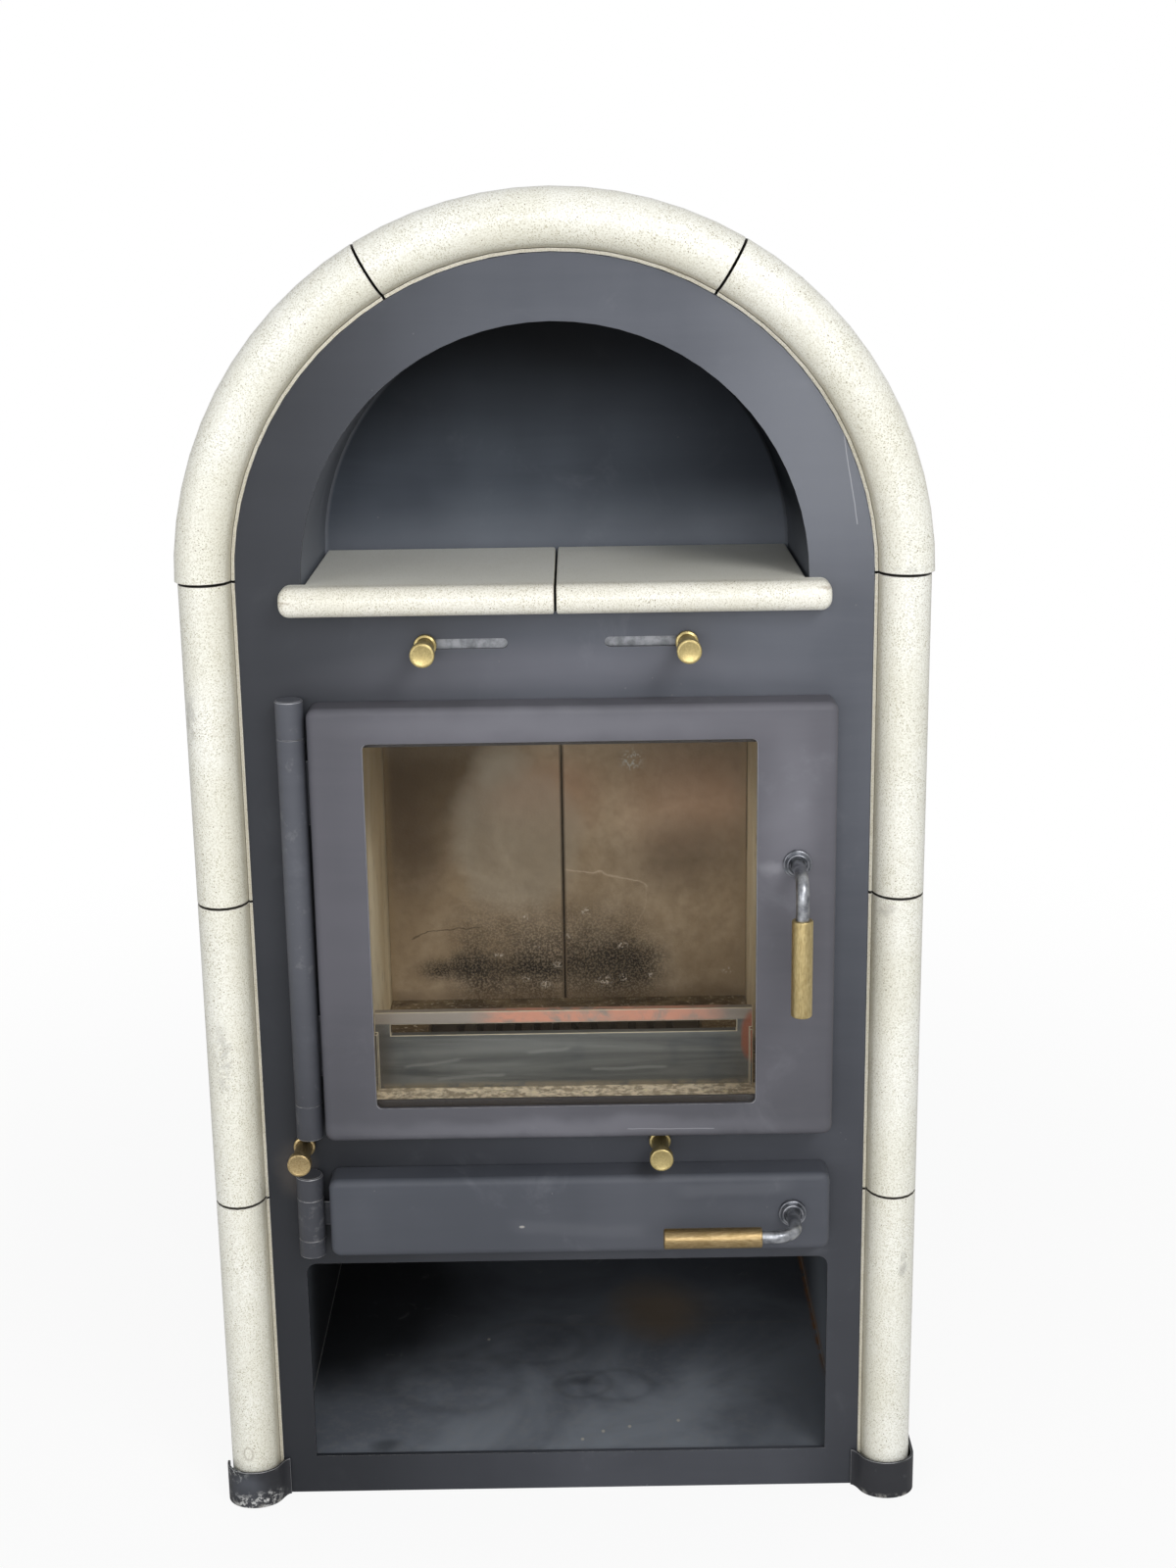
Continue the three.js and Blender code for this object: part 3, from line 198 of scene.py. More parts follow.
def shade(red, green, blue):
    """A colour with levels from 0 to 255, as on a screen, made linear for a node."""
    linear = [v / 12.92 if v <= 0.04045 else ((v + 0.055) / 1.055) ** 2.4
              for v in (red / 255, green / 255, blue / 255)]
    return (*linear, 1.0)


def new_finish(name):
    """An empty material, with its first wire: where a point lies on the stove."""
    material = bpy.data.materials.new(name)
    material.use_nodes = True
    material.node_tree.nodes.clear()
    start = Wire(material.node_tree)
    return material, start.node("ShaderNodeTexCoord", {}, "Object")


def coat(material, point, **sockets):
    """Closes a material with one Principled surface."""
    surface = point.node("ShaderNodeBsdfPrincipled", **sockets)
    point.node("ShaderNodeOutputMaterial", Surface=surface)
    return material


# The floor and the room are white to the eye, and the floor still takes the stove's shadow.
AMBIENT = 0.42  # strength of the plain light from all sides
MIRRORED_WHITE = 0.45  # how much of the white room shows in metal and glass
FLOOR_GLOW = 0.90  # share of pure white in the floor near the stove, which rises to 1 far off

room = bpy.data.worlds.new("white_room")
bpy.context.scene.world = room
room.use_nodes = True
room.node_tree.nodes.clear()
air = Wire(room.node_tree)
seen = air.node("ShaderNodeLightPath", {}, "Is Camera Ray")
mirrored = air.node("ShaderNodeLightPath", {}, "Is Glossy Ray")
white = air.node("ShaderNodeBackground", Color=(1, 1, 1, 1), Strength=1.0)
ambient = air.node("ShaderNodeBackground", Color=(0.97, 0.98, 1, 1), Strength=AMBIENT)
shown = seen.most(mirrored * MIRRORED_WHITE)
sky = air.node("ShaderNodeMixShader", s0=shown, s1=ambient, s2=white)
air.node("ShaderNodeOutputWorld", Surface=sky)

corners = [(-9, -9, 0), (9, -9, 0), (9, 9, 0), (-9, 9, 0)]
floor_mesh = bpy.data.meshes.new("floor")
floor_mesh.from_pydata(corners, [], [(0, 1, 2, 3)])
floor = bpy.data.objects.new("floor", floor_mesh)
floor.location.z = -0.0005  # clear of the undersides that stand on it
bpy.context.scene.collection.objects.link(floor)
pale_floor, point = new_finish("pale_floor")
plain = point.node("ShaderNodeBsdfDiffuse", Color=(0.80, 0.80, 0.80, 1))
glow = point.node("ShaderNodeEmission", Color=(1, 1, 1, 1), Strength=1.0)
direct = point.node("ShaderNodeLightPath", {}, "Is Camera Ray")
far_off = 1 - point.patch((0, -0.3, 0), (1.3, 1.6, 0), 0.6)
white_share = FLOOR_GLOW + far_off * (1 - FLOOR_GLOW)
lit = point.node("ShaderNodeMixShader", s0=direct * white_share, s1=plain, s2=glow)
point.node("ShaderNodeOutputMaterial", Surface=lit)
floor_mesh.materials.append(pale_floor)

# ---- Front plate and foot collars ----------------------------------------------------------
# One 5 mm steel plate, cut out for the niche, the doors and the wood store, sprayed with a
# satin anthracite heat-proof paint. The paint has clouded with use, and shines at the edges.
SEAT = 0.0003  # left open where one piece lies on another
PLATE_THICKNESS = 0.005
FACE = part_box("body_jacket")[0][1] - SEAT - PLATE_THICKNESS  # depth of the plate's front face


def on_face(x, z, depth=0.0):
    """A point from millimetres along the plate, up it and behind its face. A mark that leaves
    out the depth, as most do here, needs none."""
    return (x / 1000, FACE + depth / 1000, z / 1000)


SAME_CORNER = 2e-5  # corners that lie nearer than this are joined
SAME_FACE = math.radians(0.6)  # faces that meet flatter than this are joined
EDGE = math.radians(40)  # and those that meet sharper than this get a rounded edge


def dress(node, finish, edge=None, width=0.0006, steps=2, whole=True):
    """Gives a CAD node its finish and rounds its edges, which may have a finish of their own.
    whole joins the triangles of each flat face first, which suits all but a framed opening."""
    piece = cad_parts[node]
    piece.data.materials.clear()
    piece.data.materials.append(finish)
    for face in piece.data.polygons:
        face.use_smooth = True
        face.material_index = 0
    piece.modifiers.new("joined", "WELD").merge_threshold = SAME_CORNER
    if whole:
        flat = piece.modifiers.new("flat_faces", "DECIMATE")
        flat.decimate_type = "DISSOLVE"
        flat.angle_limit = SAME_FACE
    rounding = piece.modifiers.new("rounded_edges", "BEVEL")
    rounding.width = width
    rounding.segments = steps
    rounding.limit_method = "ANGLE"
    rounding.angle_limit = EDGE
    if edge:
        piece.data.materials.append(edge)
        rounding.material = 1
    piece.modifiers.new("even_shading", "WEIGHTED_NORMAL").keep_sharp = False
    return piece


def anthracite(name, light, dark, worn=0.0, marked=None, floor_shade=0.50, sheen=0.3):
    """Satin paint, clouded by hands and heat, and darker towards the floor by fade, a painted
    shade. worn lets bare steel show through, and sheen is how much it mirrors, all from 0 to 1.
    marked(point, base) draws single marks."""
    material, point = new_finish(name)
    clouds = point.noise(3.2, 3.0, 0.55, 0.6)
    smears = point.mapped(scale=(9, 9, 2.2)).noise(1.0, 3.0, 0.6)
    wipes = point.mapped(scale=(3, 3, 26)).noise(1.0, 4.0, 0.7, 0.3)
    base = (clouds * 0.5 + smears * 0.3 + wipes * 0.2).step(0.36, 0.64).blend(dark, light)
    # Painted shade: the paint darkens towards the floor, as far as fade goes.
    low = point.along(2).step(0.80, 0.22)
    base = base.tinted(low * floor_shade, 34, 34, 37)
    rub = point.noise(11.0, 5.0, 0.68, 0.5).step(0.56, 0.78)
    base = base.tinted(rub * 0.14, 150, 152, 160)
    dust_and_light = point.cells(95.0).step(0.10, 0.03) * point.noise(14.0, 2.0).step(0.58, 0.70)
    base = base.tinted(dust_and_light * 0.30, 160, 158, 156)
    steel = point.noise(70.0, 3.0, 0.7).step(0.62 - 0.3 * worn, 0.74 - 0.2 * worn) * worn
    base = base.tinted(steel, 156, 156, 158)
    if marked:
        base = marked(point, base)
    rough = 0.44 + clouds * 0.16 + smears * 0.08 - rub * 0.10 - steel * 0.12
    skin = (point.noise(900.0, 1.0) * 0.5 + point.noise(260.0, 2.0) * 0.5).bump(0.10, 0.0004)
    return coat(
        material, point, Base_Color=base, Roughness=rough, Metallic=steel * 0.8, Normal=skin,
        Specular_IOR_Level=sheen,
    )


def plate_marks(point, base):
    """Painted shade at the left and low on the right and a painted sheen at the upper right, with a
    long scratch beside the arch, rubbed rings round the knobs and heat over the door."""
    across = point.wavy(3.0, 0.10).along(0)
    # Painted shade: the plate darkens towards the left.
    base = base.tinted(across.step(0.03, -0.26) * 0.76, 26, 28, 32)
    # Painted sheen: the plate is lighter at the upper right.
    upper_right_sheen = across.step(0.10, 0.24) * point.along(2).step(0.86, 1.02)
    base = base.tinted(upper_right_sheen * 0.55, 124, 127, 134)
    # Painted shade low on the right.
    corner = across.step(0.21, 0.28) * point.along(2).step(0.36, 0.18)
    base = base.tinted(corner * 0.40, 32, 34, 38)
    scratch = point.wavy(30.0, 0.003).stroke(
        on_face(255.4, 1044.7), on_face(268.9, 963.5), 0.0004, 0.0004
    )
    base = base.tinted(scratch * 0.65, 170, 170, 174)
    for x in (-117, 117):
        halo = point.wavy(40.0, 0.01).patch(on_face(x, 846), (0.030, 0, 0.022), 0.6)
        base = base.tinted(halo * 0.22, 58, 60, 66)
    worn = point.wavy(60.0, 0.012).patch(on_face(-258, 350), (0.016, 0, 0.024), 0.6)
    base = base.tinted(worn * 0.22, 116, 106, 96)
    warm = point.wavy(7.0, 0.06).patch(on_face(0, 832), (0.16, 0, 0.020), 0.8)
    return base.tinted(warm * 0.16, 150, 148, 158)


plate_paint = anthracite("anthracite_plate", (92, 95, 103), (77, 80, 88), marked=plate_marks)


def lip_line(point, base):
    """A pale line along the lower edge of the wood store's opening."""
    lip = point.along(2).near(0.040, 0.0015, 0.001) * abs(point.along(0)).step(0.256, 0.250)
    return base.tinted(lip * 0.8, 172, 172, 170)


worn_edge = anthracite("anthracite_worn_edge", (128, 128, 134), (96, 96, 102), 1.0, lip_line)
dress("front_plate", plate_paint, worn_edge)


def collar_marks(point, base):
    """Limewash and grit where the collars meet the floor, most of it on the left one."""
    grit = point.noise(190.0, 4.0, 0.7).step(0.50, 0.60)
    splash = point.wavy(60.0, 0.014).patch(on_face(-309, 6, -24), (0.024, 0.02, 0.009), 0.6)
    base = base.tinted(splash * grit * 0.9, 206, 206, 204)
    chip = point.wavy(90.0, 0.01).patch(on_face(-330, 36, -10), (0.010, 0.03, 0.008), 0.6)
    base = base.tinted(chip * grit * 0.8, 170, 172, 170)
    worn_patch = point.wavy(50.0, 0.02).patch(on_face(-318, 24, -20), (0.016, 0.03, 0.012), 0.7)
    base = base.tinted(worn_patch * 0.5, 92, 96, 104)
    ground = point.along(2).step(0.006, 0.001) * point.noise(75.0, 4.0, 0.7).step(0.50, 0.62)
    return base.tinted(ground * 0.6, 176, 174, 168)


collar_paint = anthracite("collar_paint", (62, 63, 68), (48, 49, 53), 0.1, collar_marks)
collar_edge = anthracite("collar_worn_edge", (150, 152, 148), (104, 106, 104), 1.0)
for node in ("foot_collar_left", "foot_collar_right"):
    dress(node, collar_paint, collar_edge, 0.0004)
hidden_paint = anthracite("hidden_sheet_paint", (58, 58, 62), (46, 46, 50))
for node in ("body_jacket", "base_plate"):
    dress(node, hidden_paint)

# ---- Tiled surround ------------------------------------------------------------------------
# Nine cast ceramic tiles with a rounded nose, under a glossy cream glaze full of fine brown
# specks. They stand on the floor plate and on each other, and the joints are left dark.
ARCH_CENTRE = 0.916  # height of the middle of the arch
ARCH_STEP = math.radians(60)  # that each arch tile takes up
JOINT_HALF = 0.0012  # half the width of the open joints
JOINT_SOFT = 0.0007
ROWS = ("lower", "middle", "upper")


def from_arch(point):
    """The distance from the arch's middle line, and below it from the plane through it."""
    above = point.node("ShaderNodeCombineXYZ", X=point.along(0),
                       Z=(point.along(2) - ARCH_CENTRE).most(0.0))
    return above.vector("LENGTH", "Value")


def speckled_glaze(name, light, dark, specks=1.0, rough=0.26, marked=None):
    """Cream glaze over a speckled body: broad warm clouds, brown dots and finer grey ones."""
    material, point = new_finish(name)
    clouds = point.noise(7.0, 3.0, 0.55)
    base = clouds.step(0.36, 0.64).blend(dark, light)
    patches = point.noise(30.0, 3.0, 0.6)
    crowd = 0.45 + patches.step(0.38, 0.62) * 0.55
    grey = point.noise(720.0, 2.0, 0.7).step(0.46, 0.62)
    base = base.tinted(grey * 0.42 * specks, 174, 166, 142)
    brown = point.cells(500.0).step(0.40, 0.20) * crowd
    base = base.tinted(brown * 0.66 * specks, 150, 141, 106)
    dots = point.cells(190.0).step(0.15, 0.09) * point.noise(55.0, 1.0).step(0.44, 0.56)
    base = base.tinted(dots * 0.85 * specks, 112, 94, 70)
    stain = point.noise(46.0, 4.0, 0.7, 0.4).step(0.66, 0.80)
    base = base.tinted(stain * 0.16 * specks, 150, 138, 116)
    if marked:
        base = marked(point, base)
    skin = (point.noise(42.0, 2.0) * 0.7 + point.noise(420.0, 1.0) * 0.3).bump(0.12, 0.0012)
    return coat(
        material, point, Base_Color=base, Roughness=rough + patches * 0.12, Normal=skin, IOR=1.5
    )


def tile_marks(point, base):
    """Grey smears from fingers and soot near the joints, dirt with painted shade along the plate,
    dirt at the foot, a ring-shaped dent low on the left, and the dark of the joints."""
    soot = point.noise(120.0, 4.0, 0.7).step(0.36, 0.60)
    for x, z, wide, high in ((313, 925, 12, 3), (300, 608, 7, 6), (-318, 470, 8, 30),
                             (324, 250, 4, 14), (-330, 800, 5, 20)):
        smear = point.wavy(45.0, 0.012).patch(on_face(x, z), (wide / 1000, 0, high / 1000), 0.6)
        base = base.tinted(smear * soot * 0.5, 150, 148, 142)
    outward = from_arch(point)
    # Dirt and painted shade in the crease along the plate.
    grime_and_shade = outward.step(0.2935, 0.2895) * (0.5 + point.noise(38.0, 4.0, 0.65) * 0.5)
    base = base.tinted(grime_and_shade * 0.62, 122, 108, 82)
    # Painted shade: the inner side of the tiles, towards the plate, is darker and yellower.
    base = base.tinted(outward.step(0.318, 0.290) * 0.26, 206, 198, 168)
    dent = on_face(-316.5, 56.7)
    ring = point.patch(dent, (0.0052, 0, 0.0075), 0.22) - point.patch(dent, (0.0036, 0, 0.0058), 0.22)
    base = base.tinted(ring * 0.55, 160, 150, 134)
    height = point.along(2)
    foot = height.step(0.060, 0.024) * point.noise(60.0, 4.0, 0.7).step(0.44, 0.66)
    base = base.tinted(foot * 0.20, 168, 158, 140)
    slant = abs(point.along(0)) * math.sin(ARCH_STEP) - (height - ARCH_CENTRE) * math.cos(ARCH_STEP)
    joint = slant.near(0.0, JOINT_HALF, JOINT_SOFT) * height.step(ARCH_CENTRE, ARCH_CENTRE + 0.02)
    for row in ROWS:
        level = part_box(f"side_tile_left_{row}")[1][2] + JOINT_HALF
        joint = joint.most(height.near(level, JOINT_HALF, JOINT_SOFT))
    return base.tinted(joint * 0.9, 56, 48, 37)


cream = speckled_glaze("cream_glaze", (247, 247, 239), (236, 235, 223), marked=tile_marks)
cream_edge = speckled_glaze("cream_glaze_edge", (246, 245, 238), (236, 233, 222), 0.5, 0.2)
side_tiles = [f"side_tile_{side}_{row}" for side in ("left", "right") for row in ROWS]
for node in (*side_tiles, "arch_tile_left", "arch_tile_top", "arch_tile_right"):
    dress(node, cream, cream_edge, 0.0014, 3)

# ---- Warming niche and shelf ---------------------------------------------------------------
# A D-shaped sheet box welded behind the plate, with two glazed slabs laid side by side as a
# shelf. Their round fronts stand out before the plate, and their tops are rubbed by pots.
NICHE_RADIUS = 0.227  # of its opening in the plate


def niche_marks(point, base):
    """Painted shade, darkest at the crown and on the right inner side, painted light on the left
    one, and dusted at the foot, where things stand, with painted light there too."""
    drift = point.wavy(5.0, 0.06)
    height = drift.along(2)
    # Painted shade under the crown.
    crown = height.step(0.97, 1.12)
    base = base.tinted(crown * 0.96, 4, 6, 9)
    # Painted shade on the right of the back.
    right = drift.along(0).step(-0.02, 0.17) * height.step(0.90, 0.99)
    base = base.tinted(right * 0.66, 24, 28, 35)
    across = point.along(0)
    skirt = from_arch(point).step(NICHE_RADIUS - 0.004, NICHE_RADIUS - 0.001)
    # Painted shade on the right inner side.
    base = base.tinted(skirt * across.step(0.02, 0.14) * 0.9, 8, 11, 15)
    # Painted light on the left inner side.
    base = base.tinted(skirt * across.step(-0.12, -0.20) * 0.5, 122, 124, 130)
    # Dusted towards the foot, with painted light there too.
    dust_and_light = height.step(0.985, 0.905) * (0.7 + point.noise(24.0, 4.0, 0.6) * 0.4)
    return base.tinted(dust_and_light * 0.42, 142, 147, 156)


niche_paint = anthracite("niche_paint", (80, 86, 95), (65, 70, 79), marked=niche_marks, sheen=0.1)
dress("niche_liner", niche_paint)


def on_level(x, depth):
    """A point of a level face, from millimetres along the plate and behind its face."""
    return on_face(x, 0, depth)


def shelf_marks(point, base):
    """Tops rubbed pale and plain, with a painted shadow at the right rear and fine scratches, and
    chipped, stained ends of the rounded front."""
    top = point.along(1).step(FACE - 0.012, FACE - 0.002)
    worn = top * (0.62 + point.noise(16.0, 3.0, 0.6) * 0.38)
    base = base.tinted(worn * 0.80, 246, 245, 234)
    # Painted shadow of the plate's edge on the right rear of the tops.
    shadow_side = top * point.wavy(6.0, 0.03).along(0).step(0.03, 0.14)
    shadow_side = shadow_side * point.along(1).step(FACE + 0.03, FACE + 0.12)
    base = base.tinted(shadow_side * 0.5, 178, 178, 166)
    for x0, y0, x1, y1 in ((-150, 60, -110, 20), (60, 90, 75, 30), (150, 140, 90, 120)):
        scratch = point.wavy(25.0, 0.006).stroke(
            on_level(x0, y0), on_level(x1, y1), 0.0008, 0.0008, (0, 0, 1)
        )
        base = base.tinted(scratch * 0.30, 228, 226, 214)
    for x, z, wide in ((-240, 903, 0.007), (240, 911, 0.006)):
        chip = point.wavy(70.0, 0.006).patch(on_face(x, z, -20), (wide, 0.02, 0.0014), 0.6)
        base = base.tinted(chip * 0.45, 140, 122, 98)
    return base


shelf_glaze = speckled_glaze("shelf_glaze", (242, 240, 230), (231, 228, 214), marked=shelf_marks)


CREASE = math.radians(28)  # a modelled piece keeps the edges that turn more than this


def finish_mesh(name, skin, material):
    """Turns a bmesh shell into an object, with its faces outwards and its edges kept crisp."""
    bmesh.ops.remove_doubles(skin, verts=skin.verts, dist=1e-7)
    bmesh.ops.recalc_face_normals(skin, faces=skin.faces)
    mesh = bpy.data.meshes.new(name)
    skin.to_mesh(mesh)
    skin.free()
    mesh.shade_smooth()
    mesh.set_sharp_from_angle(angle=CREASE)
    mesh.materials.append(material)
    piece = bpy.data.objects.new(name, mesh)
    bpy.context.scene.collection.objects.link(piece)
    return piece


def stand_in(piece, node, body):
    """Shows a finer piece in a CAD node's place, on the node's body."""
    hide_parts(node)
    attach(piece, body)


SLAB_SIDE = NICHE_RADIUS - 0.003  # the slab clears the side of the niche by 3 mm
TIP = 0.0095  # rounding of the front's outer end
ARRIS = 0.0020  # rounding of the other edges
SHELL_GAP = 0.00005  # keeps the two shells of a slab apart
END_STEPS = 6  # sections in the rounding of an end
NOSE_STEPS = 16  # faces round the front


def inset_at(x, start, end, first, last):
    """How far the outline lies in from full size at x, for a rounding at each end."""
    ends = ((first, start + first - x), (last, x - end + last))
    return sum(radius - math.sqrt(max(0.0, radius ** 2 - max(0.0, into) ** 2))
               for radius, into in ends)


def places_along(start, end, first, last):
    """Where the sections stand: close together in the two roundings."""
    ease = [1 - math.cos(math.radians(90 * i / END_STEPS)) for i in range(END_STEPS + 1)]
    return [start + first * e for e in ease] + [end - last * e for e in reversed(ease)]


def sections(skin, sign, outline, start, end, first, last):
    """A closed shell from sections across x, each given by outline(inset) as (y, z) pairs."""
    rings = []
    for x in places_along(start, end, first, last):
        inset = inset_at(x, start, end, first, last)
        rings.append([skin.verts.new((sign * x, y, z)) for y, z in outline(inset)])
    for one, two in zip(rings, rings[1:]):
        for i in range(len(one)):
            j = (i + 1) % len(one)
            skin.faces.new((one[i], one[j], two[j], two[i]))
    skin.faces.new(rings[0])
    skin.faces.new(rings[-1])


def shelf_slab(side, sign):
    """One slab: the full round front with its rounded outer end, and the flat part behind."""
    low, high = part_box("shelf_tile_right")
    half = (high[2] - low[2]) / 2
    middle = (high[2] + low[2]) / 2
    rear = FACE - SEAT

    def nose(inset):
        radius = half - inset
        arc = [math.radians(90 + 180 * i / NOSE_STEPS) for i in range(NOSE_STEPS + 1)]
        return [(rear, high[2] - inset),
                *((low[1] + half + radius * math.cos(a), middle + radius * math.sin(a)) for a in arc),
                (rear, low[2] + inset)]

    def flat(inset):
        front = rear + SHELL_GAP
        return [(front, high[2] - inset), (front, low[2] + inset),
                (high[1] - inset, low[2] + inset), (high[1] - inset, high[2] - inset)]

    skin = bmesh.new()
    sections(skin, sign, nose, low[0], high[0], ARRIS, TIP)
    sections(skin, sign, flat, low[0], SLAB_SIDE, ARRIS, ARRIS)
    slab = finish_mesh(f"shelf_slab_{side}", skin, shelf_glaze)
    stand_in(slab, f"shelf_tile_{side}", "stove")


shelf_slab("left", -1)
shelf_slab("right", 1)

# ---- Firebox -------------------------------------------------------------------------------
# A welded steel box lined with vermiculite bricks, which soot has browned. A cast grate lies
# in the hearth, and a heat-blued steel guard keeps the logs off the glass.


def brick_grain(point):
    """The pressed flakes of vermiculite, as a height from 0 to 1."""
    return point.noise(210.0, 3.0, 0.7) * 0.5 + point.cells(330.0) * 0.5


def flame_marks(point, base):
    """A sooted upper corner, two blushes, a place burnt pale with a paler rim, and three dim
    ones."""
    drift = point.wavy(9.0, 0.05)
    edge_drift = point.wavy(34.0, 0.022)
    corner = drift.patch(on_face(-160, 690), (0.105, 0, 0.10), 0.7)
    base = base.tinted(corner * 0.75, 58, 46, 34)
    blush = drift.patch(on_face(-18, 640), (0.055, 0, 0.030), 0.9)
    blush = blush.most(drift.patch(on_face(150, 636), (0.070, 0, 0.045), 0.9))
    base = base.tinted(blush * 0.50, 190, 148, 122)
    pale = edge_drift.patch(on_face(-50, 592), (0.064, 0, 0.074), 0.28)
    pale = pale.most(edge_drift.patch(on_face(-62, 655), (0.030, 0, 0.034), 0.5))
    base = base.tinted(pale * 0.44, 172, 164, 148)
    rim = pale * (1 - edge_drift.patch(on_face(-46, 592), (0.058, 0, 0.069), 0.30))
    base = base.tinted(rim * 0.30, 206, 198, 180)
    dim = drift.patch(on_face(130, 575), (0.060, 0, 0.035), 0.9)
    dim = dim.most(drift.patch(on_face(-165, 585), (0.030, 0, 0.060), 0.9))
    dim = dim.most(drift.patch(on_face(150, 720), (0.110, 0, 0.070), 0.8))
    return base.tinted(dim * 0.60, 84, 68, 54)


def soot_bed(point, base, fine):
    """Speckled soot where the logs lie, with denser blots and crumbs of bare brick in it."""
    drift = point.wavy(9.0, 0.05)
    bed = drift.along(2).step(0.548, 0.455) * drift.along(0).near(-0.010, 0.078, 0.056)
    dense = point.noise(26.0, 4.0, 0.65).step(0.30, 0.66)
    dots = point.cells(360.0).step(0.26, 0.46)
    speckle = dots.least(point.noise(420.0, 2.0, 0.6).step(0.36, 0.52))
    soot = bed * (0.42 + speckle * 0.58) * (0.55 + dense * 0.45)
    base = base.tinted(soot * 0.88, 56, 47, 40)
    edge_drift = point.wavy(34.0, 0.022)
    for x, z, wide, high in ((-103, 446, 0.024, 0.014), (44, 456, 0.032, 0.024),
                             (80, 446, 0.026, 0.020), (-136, 444, 0.018, 0.010),
                             (-30, 446, 0.050, 0.012)):
        blot = edge_drift.patch(on_face(x, z), (wide, 0, high), 0.95)
        base = base.tinted(blot * (0.50 + speckle * 0.50) * 0.92, 28, 25, 23)
    crumbs = point.cells(210.0).step(0.18, 0.09) * bed * fine.step(0.46, 0.56)
    return base.tinted(crumbs * 0.50, 170, 152, 130)


def chips_and_cracks(point, base, chips):
    """Spots where the face has flaked, a pale crack across the right brick and its fainter
    turn downwards."""
    for x, z, size in ((-42, 434, 6), (-20.6, 427, 8), (42, 431, 11), (63, 434, 7), (174, 440, 6),
                       (-41, 503, 5), (24, 509, 7), (62, 470, 6), (-71, 461, 5), (2.5, 482, 5),
                       (-7, 450, 7), (92, 436, 4), (-30, 470, 4)):
        chip = point.wavy(120.0, 0.008).patch(on_face(x, z), (size / 1400, 0, size / 2000), 0.7)
        base = base.tinted(chip * chips * 0.95, 226, 214, 196)
    wander = point.wavy(55.0, 0.012)
    for start, end, strength in (((4, 555), (37, 552), 0.8), ((37, 552), (77, 542), 0.7),
                                 ((77, 542), (89, 536), 0.5), ((89, 537), (86, 512), 0.22),
                                 ((86, 512), (74, 489), 0.2)):
        crack = wander.stroke(on_face(*start), on_face(*end), 0.0010, 0.0008)
        base = base.tinted(crack * strength, 206, 186, 160)
    return base


back_brick, point = new_finish("back_brick")
height = point.along(2)
across = point.along(0)
clouds = point.noise(8.0, 5.0, 0.62, 0.5)
fine = point.noise(70.0, 5.0, 0.72)
chips = point.noise(380.0, 2.0, 0.6).step(0.50, 0.60)
base = clouds.step(0.34, 0.66).blend((164, 143, 114), (194, 174, 146))
base = base.tinted(fine.step(0.40, 0.70) * 0.32, 124, 104, 80)
base = flame_marks(point, base)
base = soot_bed(point, base, fine)
base = chips_and_cracks(point, base, chips)
wander = point.wavy(55.0, 0.012)
for start, end in (((-162, 481), (-148, 490)), ((-148, 490), (-92, 493))):
    scratch = wander.stroke(on_face(*start), on_face(*end), 0.0006, 0.0007)
    base = base.tinted(scratch * 0.6, 70, 58, 46)
smear = point.wavy(60.0, 0.014).patch(on_face(74, 676), (0.011, 0, 0.011), 0.6)
base = base.tinted(smear * chips * 0.8, 190, 190, 180)
# Painted shade in the crease at the foot of the back bricks, over the hearth.
foot = point.wavy(34.0, 0.022).along(2).step(0.428, 0.414)
base = base.tinted(foot * 0.55, 120, 100, 76)
seam = across.near(0.0, 0.0018, 0.0014) * height.step(0.50, 0.53)
base = base.tinted(seam * 0.6, 60, 48, 38)
filled = across.near(0.0, 0.0022, 0.0010) * height.step(0.53, 0.51)
base = base.tinted(filled * 0.9, 112, 96, 78)
side = abs(across - 0.0037).step(0.181, 0.190)  # the right brick is wider by 7.4 mm
base = base.tinted(side * 0.35, 164, 140, 100)
relief = brick_grain(point) * 0.6 + fine * 0.4 - scratch * 0.3  # its longer stretch is cut in
coat(back_brick, point, Base_Color=base, Roughness=0.93, Normal=relief.bump(0.30, 0.0012))

side_brick, point = new_finish("side_brick")
streaks = point.mapped(scale=(12, 12, 5)).noise(1.0, 5.0, 0.62, 0.8)
base = streaks.step(0.30, 0.72).blend((226, 204, 160), (250, 236, 202))
base = base.tinted(point.along(2).step(0.62, 0.70) * 0.45, 140, 122, 90)
base = base.tinted(point.noise(60.0, 4.0, 0.7).step(0.56, 0.74) * 0.4, 124, 104, 78)
# The joint of the right brick with the back one is pale low down, a painted patch of light,
# and dark above.
gap = point.along(0).step(0.193, 0.1945) * point.along(1).near(0.092, 0.004, 0.003)
base = base.tinted(gap * point.along(2).step(0.578, 0.572) * 0.9, 216, 196, 158)
base = base.tinted(gap * point.along(2).step(0.574, 0.580) * 0.8, 70, 52, 44)
rear = point.along(1).step(0.070, 0.096)
base = base.tinted(rear * 0.25, 120, 104, 80)
coat(side_brick, point, Base_Color=base, Roughness=0.92,
     Normal=(brick_grain(point) * 0.5 + streaks * 0.5).bump(0.30, 0.0012))

